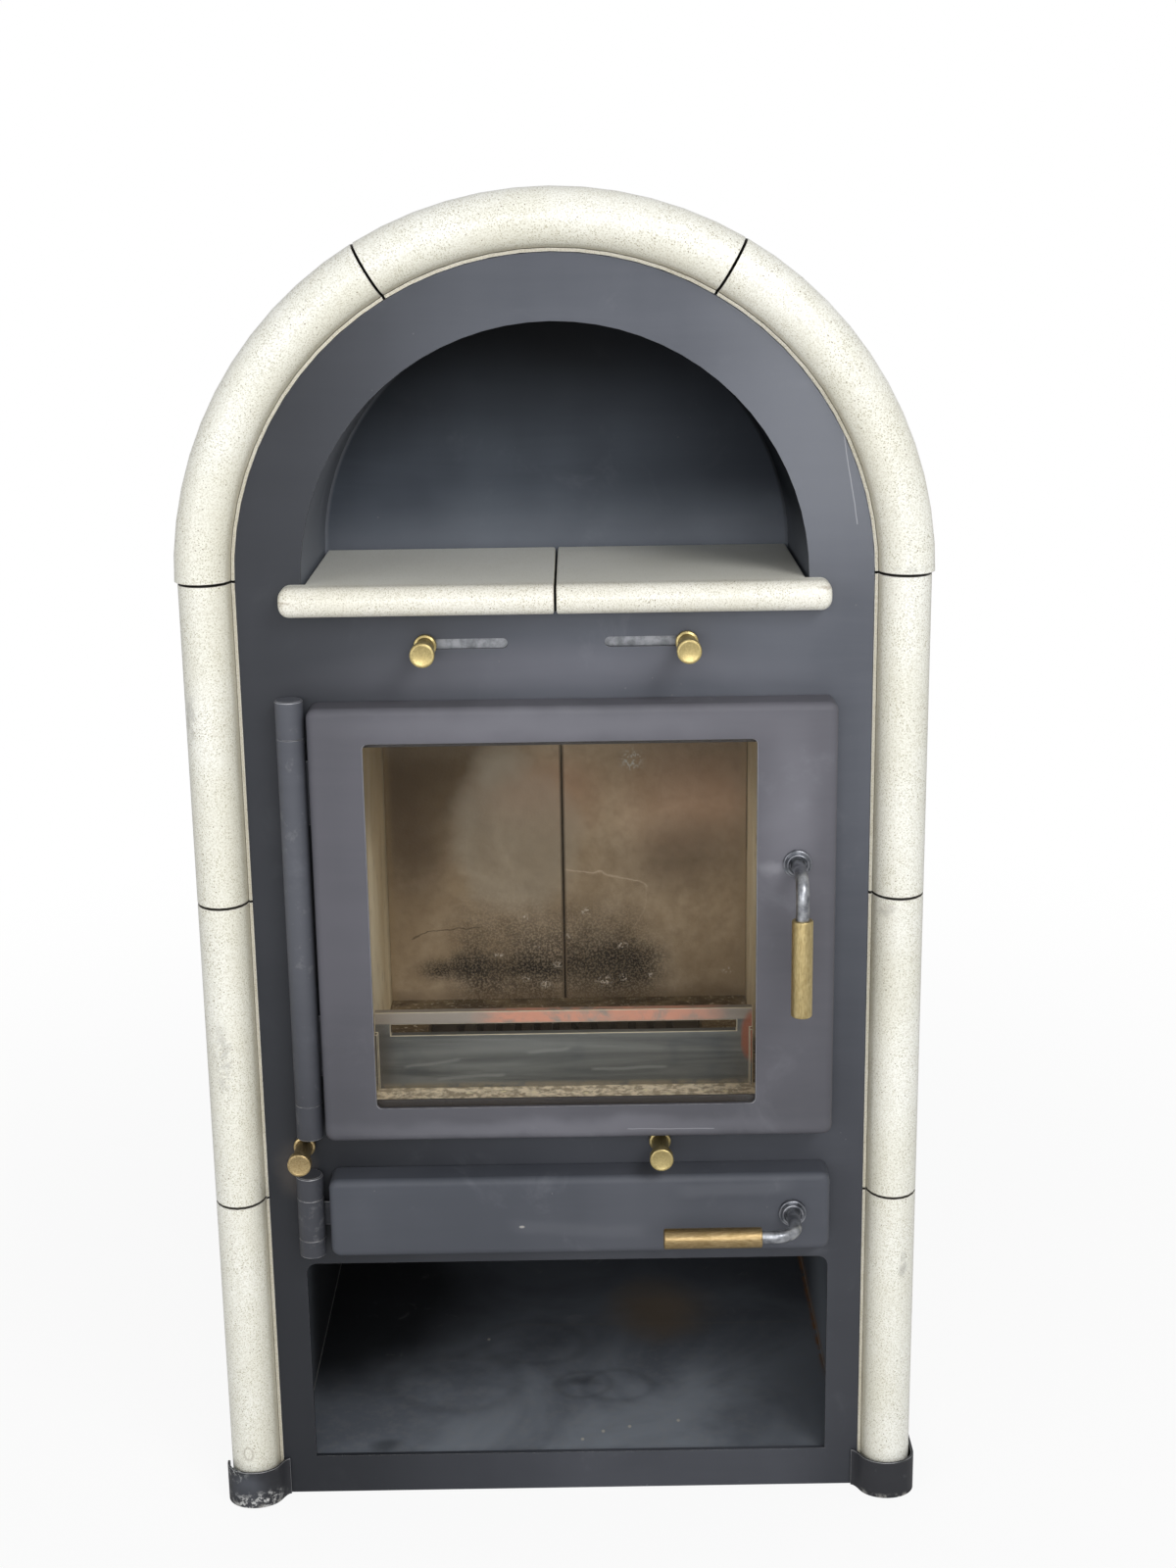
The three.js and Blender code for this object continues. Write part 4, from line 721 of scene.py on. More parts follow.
hearth, point = new_finish("hearth_brick")
clouds = point.noise(24.0, 5.0, 0.68, 0.4)
base = clouds.step(0.36, 0.64).blend((86, 72, 54), (134, 116, 88))
front = point.along(1).step(FACE + 0.052, FACE + 0.046)
crust = point.noise(95.0, 4.0, 0.7).step(0.40, 0.60)
base = base.tinted(front * (0.30 + crust * 0.70), 246, 230, 200)
ash = point.noise(170.0, 3.0, 0.7).step(0.56, 0.68)
base = base.tinted(ash * 0.7, 206, 192, 164)
flakes = point.cells(150.0).step(0.20, 0.10) * front * point.noise(32.0, 2.0).step(0.44, 0.56)
base = base.tinted(flakes, 244, 236, 212)
for x, y in ((-59, 37), (-92, 34), (135, 30), (155, 29), (78, 35), (21, 30), (99, 26), (-29, 33)):
    flake = point.wavy(150.0, 0.004).patch(on_level(x, y), (0.0032, 0.0016, 0), 0.5)
    base = base.tinted(flake * 0.95, 244, 232, 190)
coat(hearth, point, Base_Color=base, Roughness=0.93,
     Normal=(brick_grain(point) * 0.6 + ash * 0.4).bump(0.4, 0.0016))

for node in ("back_brick_left", "back_brick_right"):
    dress(node, back_brick, width=0.0004)
for node in ("side_brick_left", "side_brick_right"):
    dress(node, side_brick, width=0.0012)
dress("hearth_brick", hearth, width=0.0014)


def sooty(name, light, dark, soot=0.5, shine=0.0):
    """Sheet or casting inside the stove: scaled by heat, with soot in clouds and ash low down."""
    material, point = new_finish(name)
    clouds = point.noise(6.0, 5.0, 0.6, 0.5)
    base = clouds.step(0.34, 0.66).blend(dark, light)
    black = point.noise(13.0, 5.0, 0.65).step(0.44, 0.66)
    base = base.tinted(black * soot, 30, 27, 24)
    rust = point.noise(34.0, 5.0, 0.7).step(0.58, 0.72)
    base = base.tinted(rust * 0.30, 104, 70, 48)
    ash = point.noise(240.0, 3.0, 0.7).step(0.64, 0.74) * point.along(2).near(0.41, 0.02, 0.03)
    base = base.tinted(ash * 0.7, 196, 188, 172)
    scale = (point.noise(160.0, 4.0, 0.7) * 0.6 + clouds * 0.4).bump(0.3, 0.0010)
    return coat(
        material, point, Base_Color=base, Roughness=0.80 - black * 0.1 - clouds * 0.1,
        Metallic=shine, Normal=scale,
    )


dress("baffle_plate", sooty("baffle_soot", (120, 108, 90), (84, 74, 60), 0.7),
      width=0.0012)
dress("firebox_shell", sooty("firebox_steel", (84, 80, 76), (52, 49, 46), 0.5, 0.2))
dress("grate", sooty("grate_iron", (60, 55, 51), (34, 31, 29), 0.4, 0.3), width=0.0012)

guard_steel, point = new_finish("guard_steel")
height = point.along(2)
across = point.along(0)
pulled = point.mapped(scale=(2.4, 8, 46)).noise(1.0, 5.0, 0.62, 0.6)
clouds = point.noise(17.0, 4.0, 0.6)
base = pulled.step(0.34, 0.66).blend((78, 81, 80), (118, 120, 117))
base = base.tinted(clouds.step(0.50, 0.70) * 0.35, 52, 62, 72)
ends = across.step(-0.160, -0.178)
base = base.tinted(ends * 0.55, 48, 44, 40)
band = height.step(0.4775, 0.4795)
scaled = (pulled * 0.6 + clouds * 0.4).step(0.3, 0.7)
scaled = scaled.blend((132, 122, 112), (172, 162, 150))
base = (band * 0.75).blend(base, scaled)
copper = point.wavy(26.0, 0.05).along(0).near(0.030, 0.085, 0.045) * band
copper = copper * point.noise(44.0, 4.0, 0.7, 0.5).step(0.30, 0.56)
base = base.tinted(copper * 0.80, 214, 148, 122)
disc = point.wavy(40.0, 0.008).patch(on_face(182, 462), (0.010, 0, 0.024), 0.25)
base = base.tinted(disc * 0.85, 158, 84, 56)
for x0, z0, x1, z1 in ((-33, 447, 3, 450), (-152, 434, -104, 440), (30, 428, 96, 430),
                       (-120, 421, -60, 424)):
    streak = point.wavy(30.0, 0.006).stroke(on_face(x0, z0), on_face(x1, z1), 0.0012, 0.0018)
    base = base.tinted(streak * 0.28, 158, 160, 156)
foot = height.step(0.419, 0.4135) * point.noise(60.0, 3.0, 0.7).step(0.30, 0.55)
base = base.tinted(foot * 0.55, 150, 138, 112)
coat(guard_steel, point, Base_Color=base, Metallic=0.35, Roughness=0.50 + pulled * 0.2,
     Normal=pulled.bump(0.2, 0.0008))
guard_edge, point = new_finish("guard_edge")
coat(guard_edge, point, Roughness=0.55, Metallic=0.2,
     Base_Color=point.noise(90.0, 3.0, 0.7).blend((150, 138, 116), (214, 204, 178)))
dress("log_guard", guard_steel, guard_edge, 0.0007)

# ---- Fire door -----------------------------------------------------------------------------
# A pressed steel pan with a large pane of fire glass behind it, held by two screwed retainers
# and sealed to the plate with a glass-fibre rope.


def door_marks(point, base):
    """Painted shade at the left, paint dulled by heat above and below the glass, a painted sheen
    down the right, and paint rubbed by hands at the handle, with a fine scratch low on the right."""
    # Painted shade: the door darkens towards the left.
    base = base.tinted(point.along(0).step(-0.10, -0.23) * 0.30, 60, 60, 66)
    # Heat above and below the glass, and a painted sheen down the right.
    for x, z, wide, high in ((0, 792, 0.15, 0.012), (0, 404, 0.17, 0.008), (212, 700, 0.020, 0.07)):
        warm = point.wavy(14.0, 0.03).patch(on_face(x, z), (wide, 0, high), 0.8)
        base = base.tinted(warm * 0.22, 146, 146, 154)
    touch = point.wavy(40.0, 0.02).patch(on_face(196, 655), (0.014, 0, 0.006), 0.7)
    base = base.tinted(touch * 0.30, 160, 160, 166)
    scratch = point.wavy(25.0, 0.004).stroke(on_face(60, 402), on_face(140, 401), 0.0004, 0.0005)
    return base.tinted(scratch * 0.35, 170, 170, 176)


door_paint = anthracite(
    "anthracite_door", (98, 97, 104), (84, 84, 90), marked=door_marks, floor_shade=0.24
)
door_edge = anthracite("door_worn_edge", (150, 150, 157), (116, 116, 123), 0.8)
dress("fire_door_frame", door_paint, door_edge, 0.0010, whole=False)
for node in ("glass_retainer_top", "glass_retainer_bottom"):
    dress(node, hidden_paint)

WINDOW = (0.002, 0.6013)  # middle of the pane, along the plate and up it

fire_glass, point = new_finish("fire_glass")
smoke = point.noise(6.0, 4.0, 0.6, 0.8).step(0.35, 0.75)
rim = abs(point.along(0) - WINDOW[0]).step(0.150, 0.182)
rim = rim.most(abs(point.along(2) - WINDOW[1]).step(0.150, 0.182))
coat(fire_glass, point, Base_Color=shade(112, 100, 82), Roughness=0.08,
     Alpha=0.02 + smoke * 0.03 + rim * 0.07)
dress("door_glass", fire_glass, width=0.0004)


def new_tree(name, **sizes):
    """A Geometry Nodes tree, with its sizes as named inputs after the geometry it starts from."""
    tree = bpy.data.node_groups.new(name, "GeometryNodeTree")
    tree.interface.new_socket("Geometry", in_out="OUTPUT", socket_type="NodeSocketGeometry")
    tree.interface.new_socket("Geometry", in_out="INPUT", socket_type="NodeSocketGeometry")
    for label, size in sizes.items():
        kind = "NodeSocketInt" if isinstance(size, int) else "NodeSocketFloat"
        plain_label = label.replace("_", " ")
        socket = tree.interface.new_socket(plain_label, in_out="INPUT", socket_type=kind)
        socket.default_value = size
    given = tree.nodes.new("NodeGroupInput")
    return Wire(tree), {label: Wire(tree, given.outputs[label.replace("_", " ")])
                        for label in ("Geometry", *sizes)}


def close_tree(shape, finish):
    """Ends a tree: its instances become mesh, and take their finish."""
    solid = shape.node("GeometryNodeRealizeInstances", Geometry=shape)
    solid = shape.node("GeometryNodeSetMaterial", Geometry=solid, Material=finish)
    solid.node("NodeGroupOutput", Geometry=solid)


def grow(name, wire, start, sizes=None):
    """Runs a tree on a starting mesh, and keeps the result as a plain mesh."""
    piece = bpy.data.objects.new(name, start)
    bpy.context.scene.collection.objects.link(piece)
    modifier = piece.modifiers.new("tree", "NODES")
    modifier.node_group = wire.tree
    for socket in wire.tree.interface.items_tree:
        if socket.in_out == "INPUT" and socket.name in (sizes or {}):
            modifier[socket.identifier] = sizes[socket.name]
    ready = piece.evaluated_get(bpy.context.evaluated_depsgraph_get())
    grown = bpy.data.meshes.new_from_object(ready)
    piece.modifiers.clear()
    piece.data = grown
    return piece


def starting_points(name, points, closed=False):
    """A mesh of corners for a tree to start from, joined into a loop if closed."""
    mesh = bpy.data.meshes.new(name)
    count = len(points)
    edges = [(i, (i + 1) % count) for i in range(count)] if closed else []
    mesh.from_pydata([Vector(p) for p in points], edges, [])
    return mesh


# The rope is five strands laid round each other, pressed a little deeper than it is wide.
ROPE_RADIUS = 0.0046
ROPE_DEPTH = 0.0066
ROPE_STEPS = 720
ROPE_BEND = 0.008  # radius of its route at each corner
CORNER_STEPS = 6  # straight runs of the route round each corner
STRANDS = 5
STRAND_VALLEY = 0.76  # of the radius, between two strands
STRAND_SPACING = 0.0075  # along the rope, from one strand to the next

rope_finish, point = new_finish("glass_rope")
yarn = point.noise(700.0, 2.0, 0.6)
grey = point.noise(30.0, 4.0, 0.6).step(0.40, 0.66)
base = yarn.blend((150, 147, 140), (196, 193, 186))
coat(rope_finish, point, Roughness=0.95, Normal=yarn.bump(0.5, 0.0006),
     Base_Color=base.tinted(grey * 0.6, 84, 78, 72))
laid, given = new_tree("laid_rope", Radius=ROPE_RADIUS, Depth=ROPE_DEPTH, Steps=ROPE_STEPS,
                       Turn_per_Step=0.1)
route = laid.node("GeometryNodeMeshToCurve", Mesh=given["Geometry"])
route = laid.node("GeometryNodeResampleCurve", Curve=route, Count=given["Steps"])
lay = laid.node("GeometryNodeInputIndex") * given["Turn_per_Step"]
route = laid.node("GeometryNodeSetCurveTilt", Curve=route, Tilt=lay)
section = laid.node("GeometryNodeCurveStar", Points=STRANDS, Outer_Radius=given["Radius"],
                    Inner_Radius=given["Radius"] * STRAND_VALLEY)
rope = laid.node("GeometryNodeCurveToMesh", Curve=route, Profile_Curve=section)
squeeze = laid.node("ShaderNodeCombineXYZ", X=1.0, Y=given["Depth"] / given["Radius"], Z=1.0)
rope = laid.node("GeometryNodeTransform", Geometry=rope, Scale=squeeze)
rope = laid.node("GeometryNodeSetShadeSmooth", Geometry=rope)
close_tree(rope, rope_finish)
low, high = (Vector(corner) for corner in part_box("fire_door_seal"))
half_wide = (high.x - low.x) / 2 - ROPE_RADIUS - ROPE_BEND
half_high = (high.z - low.z) / 2 - ROPE_RADIUS - ROPE_BEND
turns = []
for corner, (side, end) in enumerate(((1, 1), (-1, 1), (-1, -1), (1, -1))):
    for step in range(CORNER_STEPS + 1):
        angle = math.radians(90 * corner + 90 * step / CORNER_STEPS)
        turns.append((side * half_wide + ROPE_BEND * math.cos(angle), 0.0,
                      end * half_high + ROPE_BEND * math.sin(angle)))
around = sum((Vector(a) - Vector(b)).length for a, b in zip(turns, turns[1:] + turns[:1]))
repeats = round(around / STRAND_SPACING)
seal = grow("seal_rope", laid, starting_points("seal_route", turns, True),
            {"Turn per Step": repeats * math.tau / STRANDS / ROPE_STEPS})
seal.data.transform(Matrix.Translation((low + high) / 2))
stand_in(seal, "fire_door_seal", "fire_door")

# Pan-head screws with a round socket. The same kind holds the retainers and the rear panel.
SCREW_INSET = 0.0031  # from the long edges of the retainers
SCREW_SPREAD = 0.152  # from the middle screw of a retainer to the outer ones

screw_steel, point = new_finish("screw_steel")
coat(screw_steel, point, Metallic=0.55, Roughness=0.40 + point.noise(300.0, 2.0) * 0.2,
     Base_Color=point.noise(160.0, 3.0, 0.6).blend((44, 44, 46), (76, 76, 78)))
screws, given = new_tree("screws", Head_Radius=0.0026, Head_Height=0.0017, Crown_Share=0.80,
                         Socket_Share=0.5, Socket_Depth=0.55, Sides=18)
head = screws.node("GeometryNodeMeshCylinder", Vertices=given["Sides"],
                   Radius=given["Head_Radius"], Depth=given["Head_Height"])
top = Wire(head.tree, head.socket.node.outputs["Top"])
head = screws.node("GeometryNodeScaleElements", Geometry=head, Selection=top,
                   Scale=given["Crown_Share"])
rise = screws.node("GeometryNodeExtrudeMesh", {"mode": "FACES"}, Mesh=head, Selection=top,
                   Offset_Scale=0.0)
inner = Wire(rise.tree, rise.socket.node.outputs["Top"])
head = screws.node("GeometryNodeScaleElements", Geometry=rise, Selection=inner,
                   Scale=given["Socket_Share"])
sink = screws.node("GeometryNodeExtrudeMesh", {"mode": "FACES"}, Mesh=head, Selection=inner,
                   Offset_Scale=0.0 - given["Head_Height"] * given["Socket_Depth"])
upright = screws.node("ShaderNodeCombineXYZ", Z=given["Head_Height"] * 0.5)
head = screws.node("GeometryNodeTransform", Geometry=sink, Translation=upright)
head = screws.node("GeometryNodeInstanceOnPoints", Points=given["Geometry"], Instance=head,
                   Rotation=(-math.pi / 2, 0.0, 0.0))
close_tree(head, screw_steel)
retainer_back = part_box("glass_retainer_top")[1][1]
heights = (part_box("glass_retainer_bottom")[0][2] + SCREW_INSET,
           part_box("glass_retainer_top")[1][2] - SCREW_INSET)
places = [(WINDOW[0] + side * SCREW_SPREAD, retainer_back, z)
          for z in heights for side in (-1, 0, 1)]
fixings = grow("retainer_screws", screws, starting_points("retainer_screw_places", places))
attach(fixings, "fire_door")

# ---- Ash door, ash box and ash pan ---------------------------------------------------------
# A second, low pressed door on the same kind of hinge. Behind it, a loose pan of zinc-coated
# sheet stands in a sheet box under the grate.


def ash_door_marks(point, base):
    """Two faint rubbed streaks, low in the middle and high on the right, and a pale speck."""
    for x0, z0, x1, z1, strength in ((-40, 302, 60, 298, 0.06), (120, 338, 200, 339, 0.08)):
        rub = point.wavy(18.0, 0.01).stroke(on_face(x0, z0), on_face(x1, z1), 0.004, 0.008)
        base = base.tinted(rub * strength, 150, 152, 158)
    speck = point.patch(on_face(-42, 303), (0.0024, 0, 0.0012), 0.4)
    return base.tinted(speck * 0.7, 178, 174, 168)


ash_door_paint = anthracite(
    "anthracite_ash_door", (104, 107, 116), (88, 92, 101), marked=ash_door_marks
)
dress("ash_door_panel", ash_door_paint, door_edge, 0.0007)
dress("ash_box", sooty("ash_box_steel", (70, 67, 64), (48, 46, 44), 0.3, 0.3))
ashy_zinc, point = new_finish("ashy_zinc")
ash = point.noise(36.0, 5.0, 0.7).step(0.40, 0.62)
coat(ashy_zinc, point, Metallic=0.45, Roughness=0.55 + ash * 0.35,
     Base_Color=(ash * 0.8).blend((124, 127, 130), (168, 162, 152)),
     Normal=point.noise(260.0, 3.0, 0.7).bump(0.3, 0.0006))
dress("ash_pan", ashy_zinc, width=0.0005)

# ---- Wood store ----------------------------------------------------------------------------
# A folded sheet liner behind the lowest opening of the plate, painted like it. Split logs have
# worn its floor to a dull sheen, with scuffs and rings, and rubbed its edges bright.
store_paint, point = new_finish("store_paint")
drift = point.wavy(10.0, 0.06)
height = point.along(2)
deep = point.along(1)
across = point.along(0)
clouds = point.noise(6.0, 4.0, 0.6, 0.6)
grainy = point.noise(90.0, 4.0, 0.7)
base = clouds.step(0.34, 0.66).blend((100, 105, 113), (132, 138, 146))
base = base.tinted(grainy.step(0.44, 0.66) * 0.20, 140, 140, 138)
# Painted shade: the store darkens towards the back.
far = drift.along(1).step(FACE + 0.10, FACE + 0.38)
base = base.tinted(far * 0.66, 40, 43, 50)
# Painted shade at the left rear.
unlit = drift.patch(on_level(-262, 330), (0.150, 0.200, 0), 0.35)
base = base.tinted(unlit * 0.88, 6, 6, 8)
# Painted light: a pale line across the floor where its shading changes.
line = point.wavy(6.0, 0.006)
line = line.stroke(on_level(-60, 261), on_level(250, 259), 0.0012, 0.0030, (0, 0, 1))
base = base.tinted(line * 0.30, 108, 106, 102)
# Painted light: a brownish patch where light falls on the right rear.
lit_patch = point.wavy(16.0, 0.05).patch(on_level(100, 290), (0.042, 0.055, 0), 0.8)
base = base.tinted(lit_patch * 0.50, 128, 104, 66)
for x, y, outer, thick in ((-122, 138, 0.074, 0.84), (15, 132, 0.034, 0.80), (52, 128, 0.040, 0.82),
                           (-40, 220, 0.060, 0.88)):
    warped = point.wavy(11.0, 0.022)
    ring = warped.patch(on_level(x, y), (outer, outer * 0.8, 0), 0.16)
    ring = ring - warped.patch(on_level(x, y), (outer * thick, outer * thick * 0.8, 0), 0.16)
    base = base.tinted(ring * 0.24, 44, 46, 52)
swirl = point.wavy(22.0, 0.03).patch(on_level(10, 140), (0.020, 0.010, 0), 0.9)
base = base.tinted(swirl * 0.45, 34, 34, 40)
spill = point.wavy(20.0, 0.02).patch(on_level(-186, 22), (0.014, 0.010, 0), 0.7)
base = base.tinted(spill * 0.55, 40, 44, 46)
for x, y in ((12, 28), (33, 42), (-90, 230), (110, 60), (60, 50)):
    crumb = point.patch(on_level(x, y), (0.0016, 0.0024, 0), 0.5)
    base = base.tinted(crumb * 0.8, 190, 184, 172)
corner = across.step(0.2655, 0.2695) * height.step(0.050, 0.040) * deep.step(FACE + 0.12, FACE + 0.20)
base = base.tinted(corner * point.noise(50.0, 3.0, 0.7).step(0.30, 0.55) * 0.9, 132, 92, 50)
scuff = point.noise(40.0, 5.0, 0.75, 0.8).step(0.60, 0.72)
base = base.tinted(scuff * 0.25, 128, 128, 126)
dull = drift.patch(on_level(268, 60), (0.110, 0.130, 0), 0.6)
base = base.tinted(dull * 0.40, 40, 44, 50)
coat(store_paint, point, Base_Color=base, Roughness=0.42 + clouds * 0.12 + grainy * 0.10,
     Metallic=0.10, Normal=(grainy * 0.5 + clouds * 0.5).bump(0.10, 0.0008))
store_edge, point = new_finish("store_bright_edge")
coat(store_edge, point, Metallic=0.5, Roughness=0.35,
     Base_Color=point.noise(60.0, 4.0, 0.7).blend((92, 92, 92), (190, 190, 186)))
dress("wood_store_liner", store_paint, store_edge, 0.0006)

# ---- Rear panel and flue collar ------------------------------------------------------------
# A vented panel of zinc-coated sheet, screwed to the jacket's flanges. The flue collar comes
# through it from the smoke box, ready for a 150 mm pipe.
zinc, point = new_finish("zinc_sheet")
spangle = point.cells(95.0)
flowers = point.cells(95.0, "Color").along(0)
base = flowers.blend((164, 168, 172), (182, 186, 190))
base = base.tinted(point.noise(9.0, 4.0, 0.6).step(0.48, 0.70) * 0.30, 138, 138, 136)
heat = point.wavy(12.0, 0.05).patch((0, 0.245, 0.97), (0.15, 0, 0.17), 0.7)  # round the flue
base = base.tinted(heat * 0.35, 132, 118, 98)
coat(zinc, point, Base_Color=base, Metallic=0.70,
     Roughness=0.36 + flowers * 0.14 + point.noise(60.0, 2.0) * 0.12,
     Normal=spangle.bump(0.05, 0.0004))
dress("rear_panel", zinc, width=0.0004)
dress("flue_collar", zinc, width=0.0004)
SCREW_LINE = 0.276  # from the middle of the panel to the screws on its sides and arch
SCREW_STEP = 0.175  # between the screws of a side
LOWEST_SCREW = 0.040  # height of the first of them
FOOT_SCREWS = (0.14, 0.018)  # how far apart and how high the foot's screws are
panel_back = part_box("rear_panel")[1][1]
places = [(side * SCREW_LINE, panel_back, LOWEST_SCREW + SCREW_STEP * step)
          for side in (-1, 1) for step in range(5)]
places += [(SCREW_LINE * math.cos(math.radians(angle)), panel_back,
            ARCH_CENTRE + SCREW_LINE * math.sin(math.radians(angle)))
           for angle in range(0, 181, 30)]
places += [(FOOT_SCREWS[0] * side, panel_back, FOOT_SCREWS[1]) for side in (-1, 0, 1)]
fixings = grow("panel_screws", screws, starting_points("panel_screw_places", places),
               {"Head Radius": 0.0052, "Head Height": 0.0034})  # twice the size of the others
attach(fixings, "stove")

# ---- Hinges --------------------------------------------------------------------------------
# Each door's barrel, a steel tube of one inch, turns on two pintles. These are welded to the
# plate and painted with it, and the ends that rub on each other are worn bright.
hinge_paint = anthracite("anthracite_hinge", (88, 90, 97), (72, 74, 81), 0.15)
hinge_edge = anthracite("hinge_worn_edge", (150, 152, 158), (112, 114, 120), 1.0)
for node in ("fire_door_hinge_barrel", "fire_door_pintle_top", "fire_door_pintle_bottom",
             "ash_door_hinge_barrel", "ash_door_pintle_top", "ash_door_pintle_bottom"):
    dress(node, hinge_paint, hinge_edge, 0.0005, whole=node != "fire_door_hinge_barrel")

# ---- Door handles --------------------------------------------------------------------------
# A steel rod of 12 mm turns in a stepped boss on the door and bends aside into a turned grip of
# brushed brass. On its inner end a latch plate hooks behind a keeper.


def brass_finish(name, bright, dull, tarnish, axis):
    """Brushed brass that has darkened in patches. The brush lines run along the given axis."""
    material, point = new_finish(name)
    fine = [900.0, 900.0, 900.0]
    fine[axis] = 150.0
    lines = point.mapped(scale=fine).noise(1.0, 2.0, 0.6)
    blotch = point.noise(130.0, 4.0, 0.65)
    broad = point.noise(45.0, 3.0, 0.6)
    base = (lines * 0.7 + blotch * 0.3).step(0.18, 0.82).blend(dull, bright)
    age = (broad * 0.55 + blotch * 0.45).step(0.46, 0.66)
    base = base.tinted(age * tarnish, 112, 92, 52)
    dents = point.cells(260.0).step(0.20, 0.10) * blotch.step(0.5, 0.62)
    base = base.tinted(dents * 0.35, 88, 72, 44)
    return coat(material, point, Base_Color=base, Metallic=0.92,
                Roughness=0.30 + lines * 0.14 + age * 0.12,
                Normal=(lines * 0.6 + blotch * 0.4).bump(0.16, 0.0004))


def worn_steel(name, bright, dark):
    """Steel whose blacking has worn off where hands reach it."""
    material, point = new_finish(name)
    wear = point.noise(120.0, 4.0, 0.6)
    base = wear.step(0.32, 0.68).blend(dark, bright)
    return coat(material, point, Base_Color=base, Metallic=0.90, Roughness=0.26 + wear * 0.2,
                Normal=point.noise(500.0, 3.0, 0.6).bump(0.08, 0.0003))


gunmetal = worn_steel("gunmetal", (176, 178, 182), (112, 114, 119))
boss_steel = worn_steel("boss_steel", (162, 164, 169), (100, 102, 108))
for node in ("fire_door_latch", "ash_door_latch"):
    dress(node, gunmetal, width=0.0005)


LATHE_SIDES = 72
ROD_SIDES = 40


def ring_of(skin, centre, first, second, radius, sides):
    """A ring of corners, or one corner for a radius of 0, in the plane of two directions."""
    if radius == 0:
        return [skin.verts.new(centre)]
    return [skin.verts.new(centre + radius * (first * math.cos(math.tau * i / sides)
                                              + second * math.sin(math.tau * i / sides)))
            for i in range(sides)]


def join_rings(skin, rings):
    """Fills the bands between neighbouring rings."""
    for one, two in zip(rings, rings[1:]):
        sides = max(len(one), len(two))
        for i in range(sides if sides > 1 else 0):
            j = (i + 1) % sides
            corners = [one[i % len(one)], one[j % len(one)], two[j % len(two)], two[i % len(two)]]
            skin.faces.new(list(dict.fromkeys(corners)))


def turned(name, outline, foot, ahead, material, closed=False):
    """A piece turned on a lathe, from points of radius and distance in mm ahead of its foot.
    Where it has a bore, closed joins its last ring to its first."""
    skin = bmesh.new()
    foot, ahead = Vector(foot), Vector(ahead)
    first = ahead.orthogonal().normalized()
    second = ahead.cross(first)
    rings = [ring_of(skin, foot + ahead * along / 1000, first, second, radius / 1000, LATHE_SIDES)
             for radius, along in outline]
    join_rings(skin, rings + rings[:1] if closed else rings)
    return finish_mesh(name, skin, material)


def bent_rod(name, line, radius, material):
    """A round rod along a line that bends in one plane."""
    skin = bmesh.new()
    flat = (line[-1] - line[0]).cross(line[1] - line[0]).normalized()
    rings = []
    for i, spot in enumerate(line):
        ahead = (line[min(i + 1, len(line) - 1)] - line[max(i - 1, 0)]).normalized()
        rings.append(ring_of(skin, spot, flat, ahead.cross(flat), radius, ROD_SIDES))
    ends = [[skin.verts.new(line[0])], [skin.verts.new(line[-1])]]
    join_rings(skin, [ends[0], *rings, ends[1]])
    return finish_mesh(name, skin, material)


# Outlines of the turned pieces, as radius and distance ahead of the foot, in millimetres.
BOSS = [(6.6, 0), (13.0, 0), (13.0, 3.6), (12.8, 4.3), (12.2, 4.7), (11.6, 4.6), (11.2, 4.0),
        (10.5, 3.9), (10.3, 4.4), (10.2, 6.6), (9.9, 7.6), (9.2, 8.0), (8.4, 7.7), (7.8, 6.8),
        (7.2, 6.3), (6.6, 6.2)]
GRIP = [(6.4, 0), (8.2, 0), (8.9, 0.25), (9.35, 0.8), (9.5, 1.6), (9.5, 89.2), (9.3, 90.0),
        (8.6, 90.7), (7.6, 91.0), (2.0, 91.0), (0, 91.0)]
GRIP_BORE = [(0, 24.4), (6.4, 24.4)]
ROD_RADIUS = 0.006
ROD_BEND = 0.021  # radius of the rod's middle line where it turns
ROD_IN_GRIP = 0.024  # how far the rod reaches into the bore of the grip
STRAIGHT_STEPS = 8
BEND_STEPS = 24


def rear_of(node):
    """The middle of a node's rear end, where a turned piece has its foot."""
    low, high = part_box(node)
    return Vector(((low[0] + high[0]) / 2, high[1], (low[2] + high[2]) / 2))


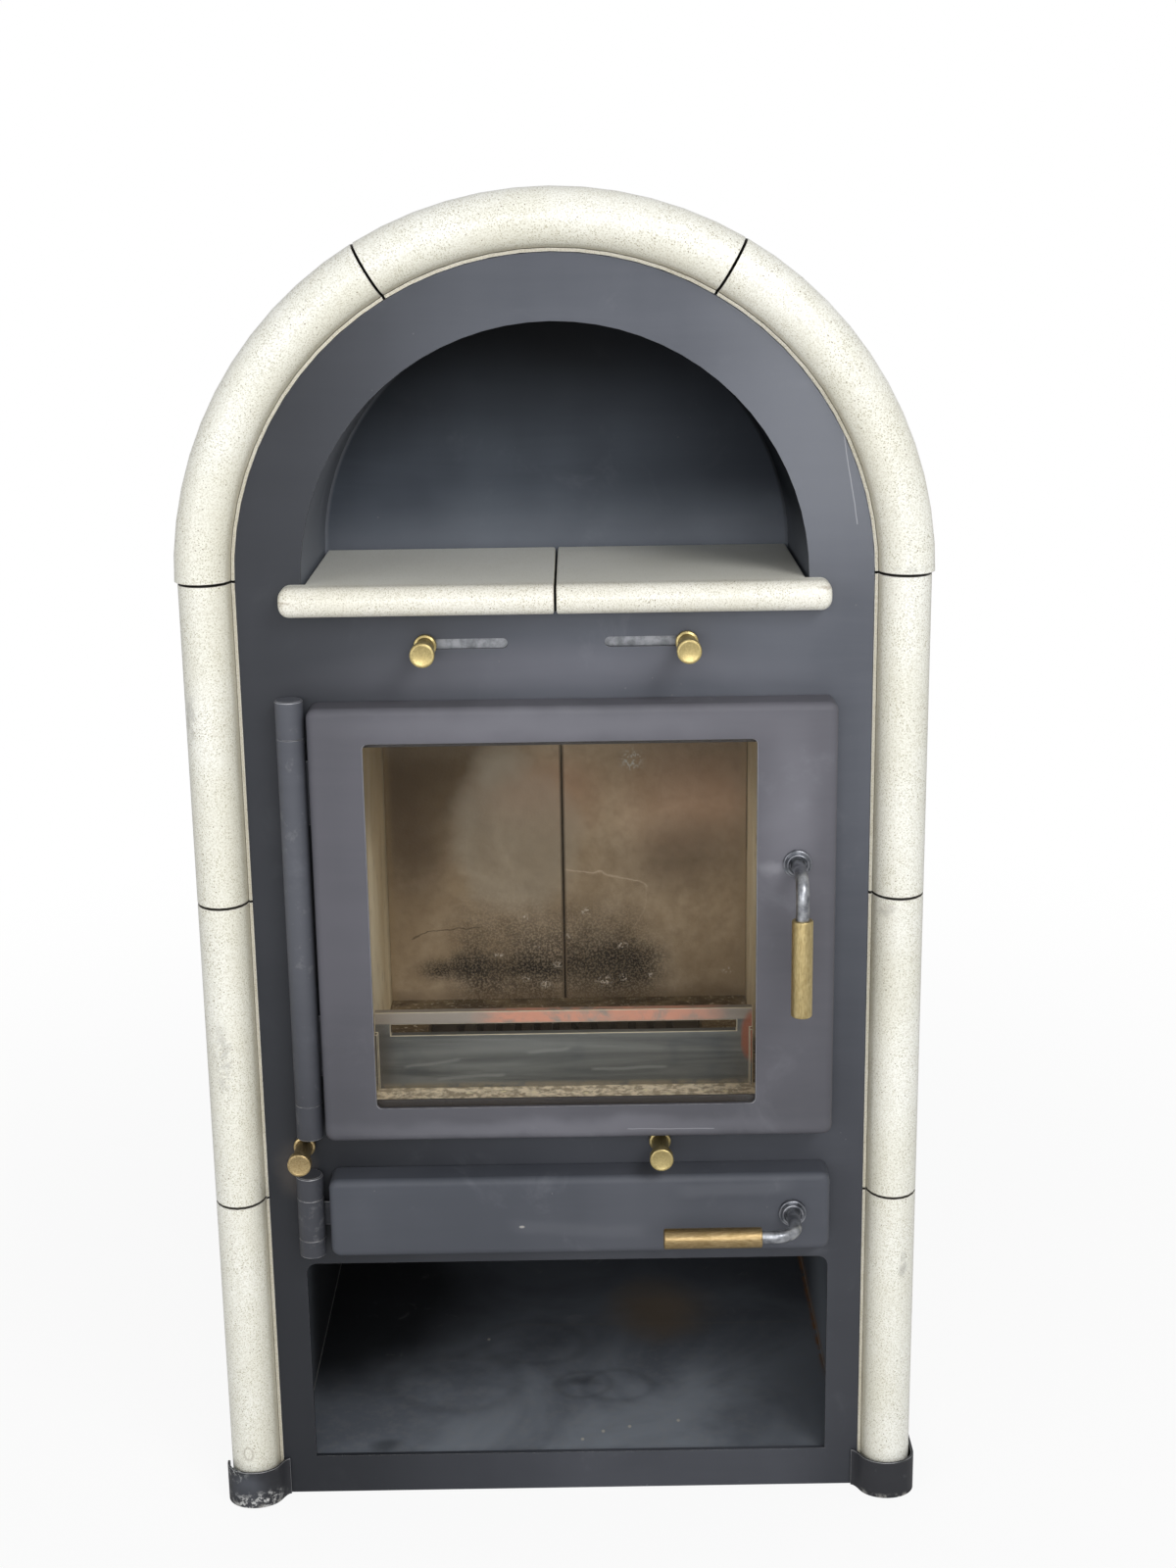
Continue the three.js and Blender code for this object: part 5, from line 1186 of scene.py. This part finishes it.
def handle(door, away, brass):
    """Boss, bent rod and grip of one door, with the grip lying away from the spindle."""
    foot = rear_of(f"{door}_handle_boss")
    boss = turned(f"{door}_boss_turned", BOSS, foot, (0, -1, 0), boss_steel, True)
    front, rear = (end[1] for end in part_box(f"{door}_handle_rod"))
    spindle = Vector((foot.x, rear, foot.z))
    corner = Vector((foot.x, front + ROD_RADIUS, foot.z))
    away = Vector(away)
    middle = corner + Vector((0, ROD_BEND, 0)) + away * ROD_BEND
    run = (corner - spindle) * (1 - ROD_BEND / (corner - spindle).length)
    line = [spindle + run * (i / STRAIGHT_STEPS) for i in range(STRAIGHT_STEPS)]
    for i in range(BEND_STEPS + 1):
        angle = math.radians(90 * i / BEND_STEPS)
        line.append(middle - away * ROD_BEND * math.cos(angle)
                    + Vector((0, -ROD_BEND * math.sin(angle), 0)))
    grip_start = min(away.dot(Vector(end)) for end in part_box(f"{door}_handle_grip"))
    grip_start = corner + away * (grip_start - away.dot(corner))
    line.append(grip_start + away * ROD_IN_GRIP)
    rod = bent_rod(f"{door}_rod_bent", line, ROD_RADIUS, gunmetal)
    grip = turned(f"{door}_grip_turned", GRIP_BORE + GRIP, grip_start, away, brass)
    stand_in(boss, f"{door}_handle_boss", door)
    stand_in(rod, f"{door}_handle_rod", f"{door}_handle")
    stand_in(grip, f"{door}_handle_grip", f"{door}_handle")


hanging_brass = brass_finish("brass_of_hanging_grip", (218, 200, 150), (164, 142, 92), 0.3, 2)
lying_brass = brass_finish("brass_of_lying_grip", (182, 160, 118), (126, 104, 70), 0.55, 0)
handle("fire_door", (0, 0, -1), hanging_brass)
handle("ash_door", (-1, 0, 0), lying_brass)

# ---- Air and riddling controls -------------------------------------------------------------
# Flat steel slides behind the slots, and two rods through the plate, each with a turned brass
# knob pressed on its end.
slide_steel = worn_steel("slide_steel", (146, 148, 152), (108, 110, 114))
for node in ("left_air_slide", "right_air_slide", "primary_air_rod", "riddling_rod"):
    dress(node, slide_steel, width=0.0003)
KNOB = [(0, 18.3), (4.4, 18.3), (4.4, 0), (9.5, 0), (10.1, 0.3), (10.3, 0.9), (10.3, 5.2),
        (10.0, 5.9), (9.2, 6.3), (8.2, 6.8), (7.7, 7.8), (7.6, 9.4), (7.6, 35.6), (7.8, 36.8),
        (8.6, 37.6), (10.2, 38.0), (10.8, 38.4), (11.0, 39.2), (11.0, 46.6), (10.8, 47.4),
        (10.1, 47.9), (9.0, 48.0), (8.6, 47.8), (0, 47.8)]
knob_brass = brass_finish("brass_of_knobs", (206, 190, 138), (160, 142, 92), 0.3, 1)
dull_brass = brass_finish("brass_of_low_knob", (196, 176, 132), (140, 118, 80), 0.5, 1)
for control, brass in (("left_air", knob_brass), ("right_air", knob_brass),
                       ("primary_air", knob_brass), ("riddling", dull_brass)):
    foot = rear_of(f"{control}_knob")
    knob = turned(f"{control}_knob_turned", KNOB, foot, (0, -1, 0), brass)
    stand_in(knob, f"{control}_knob", control)
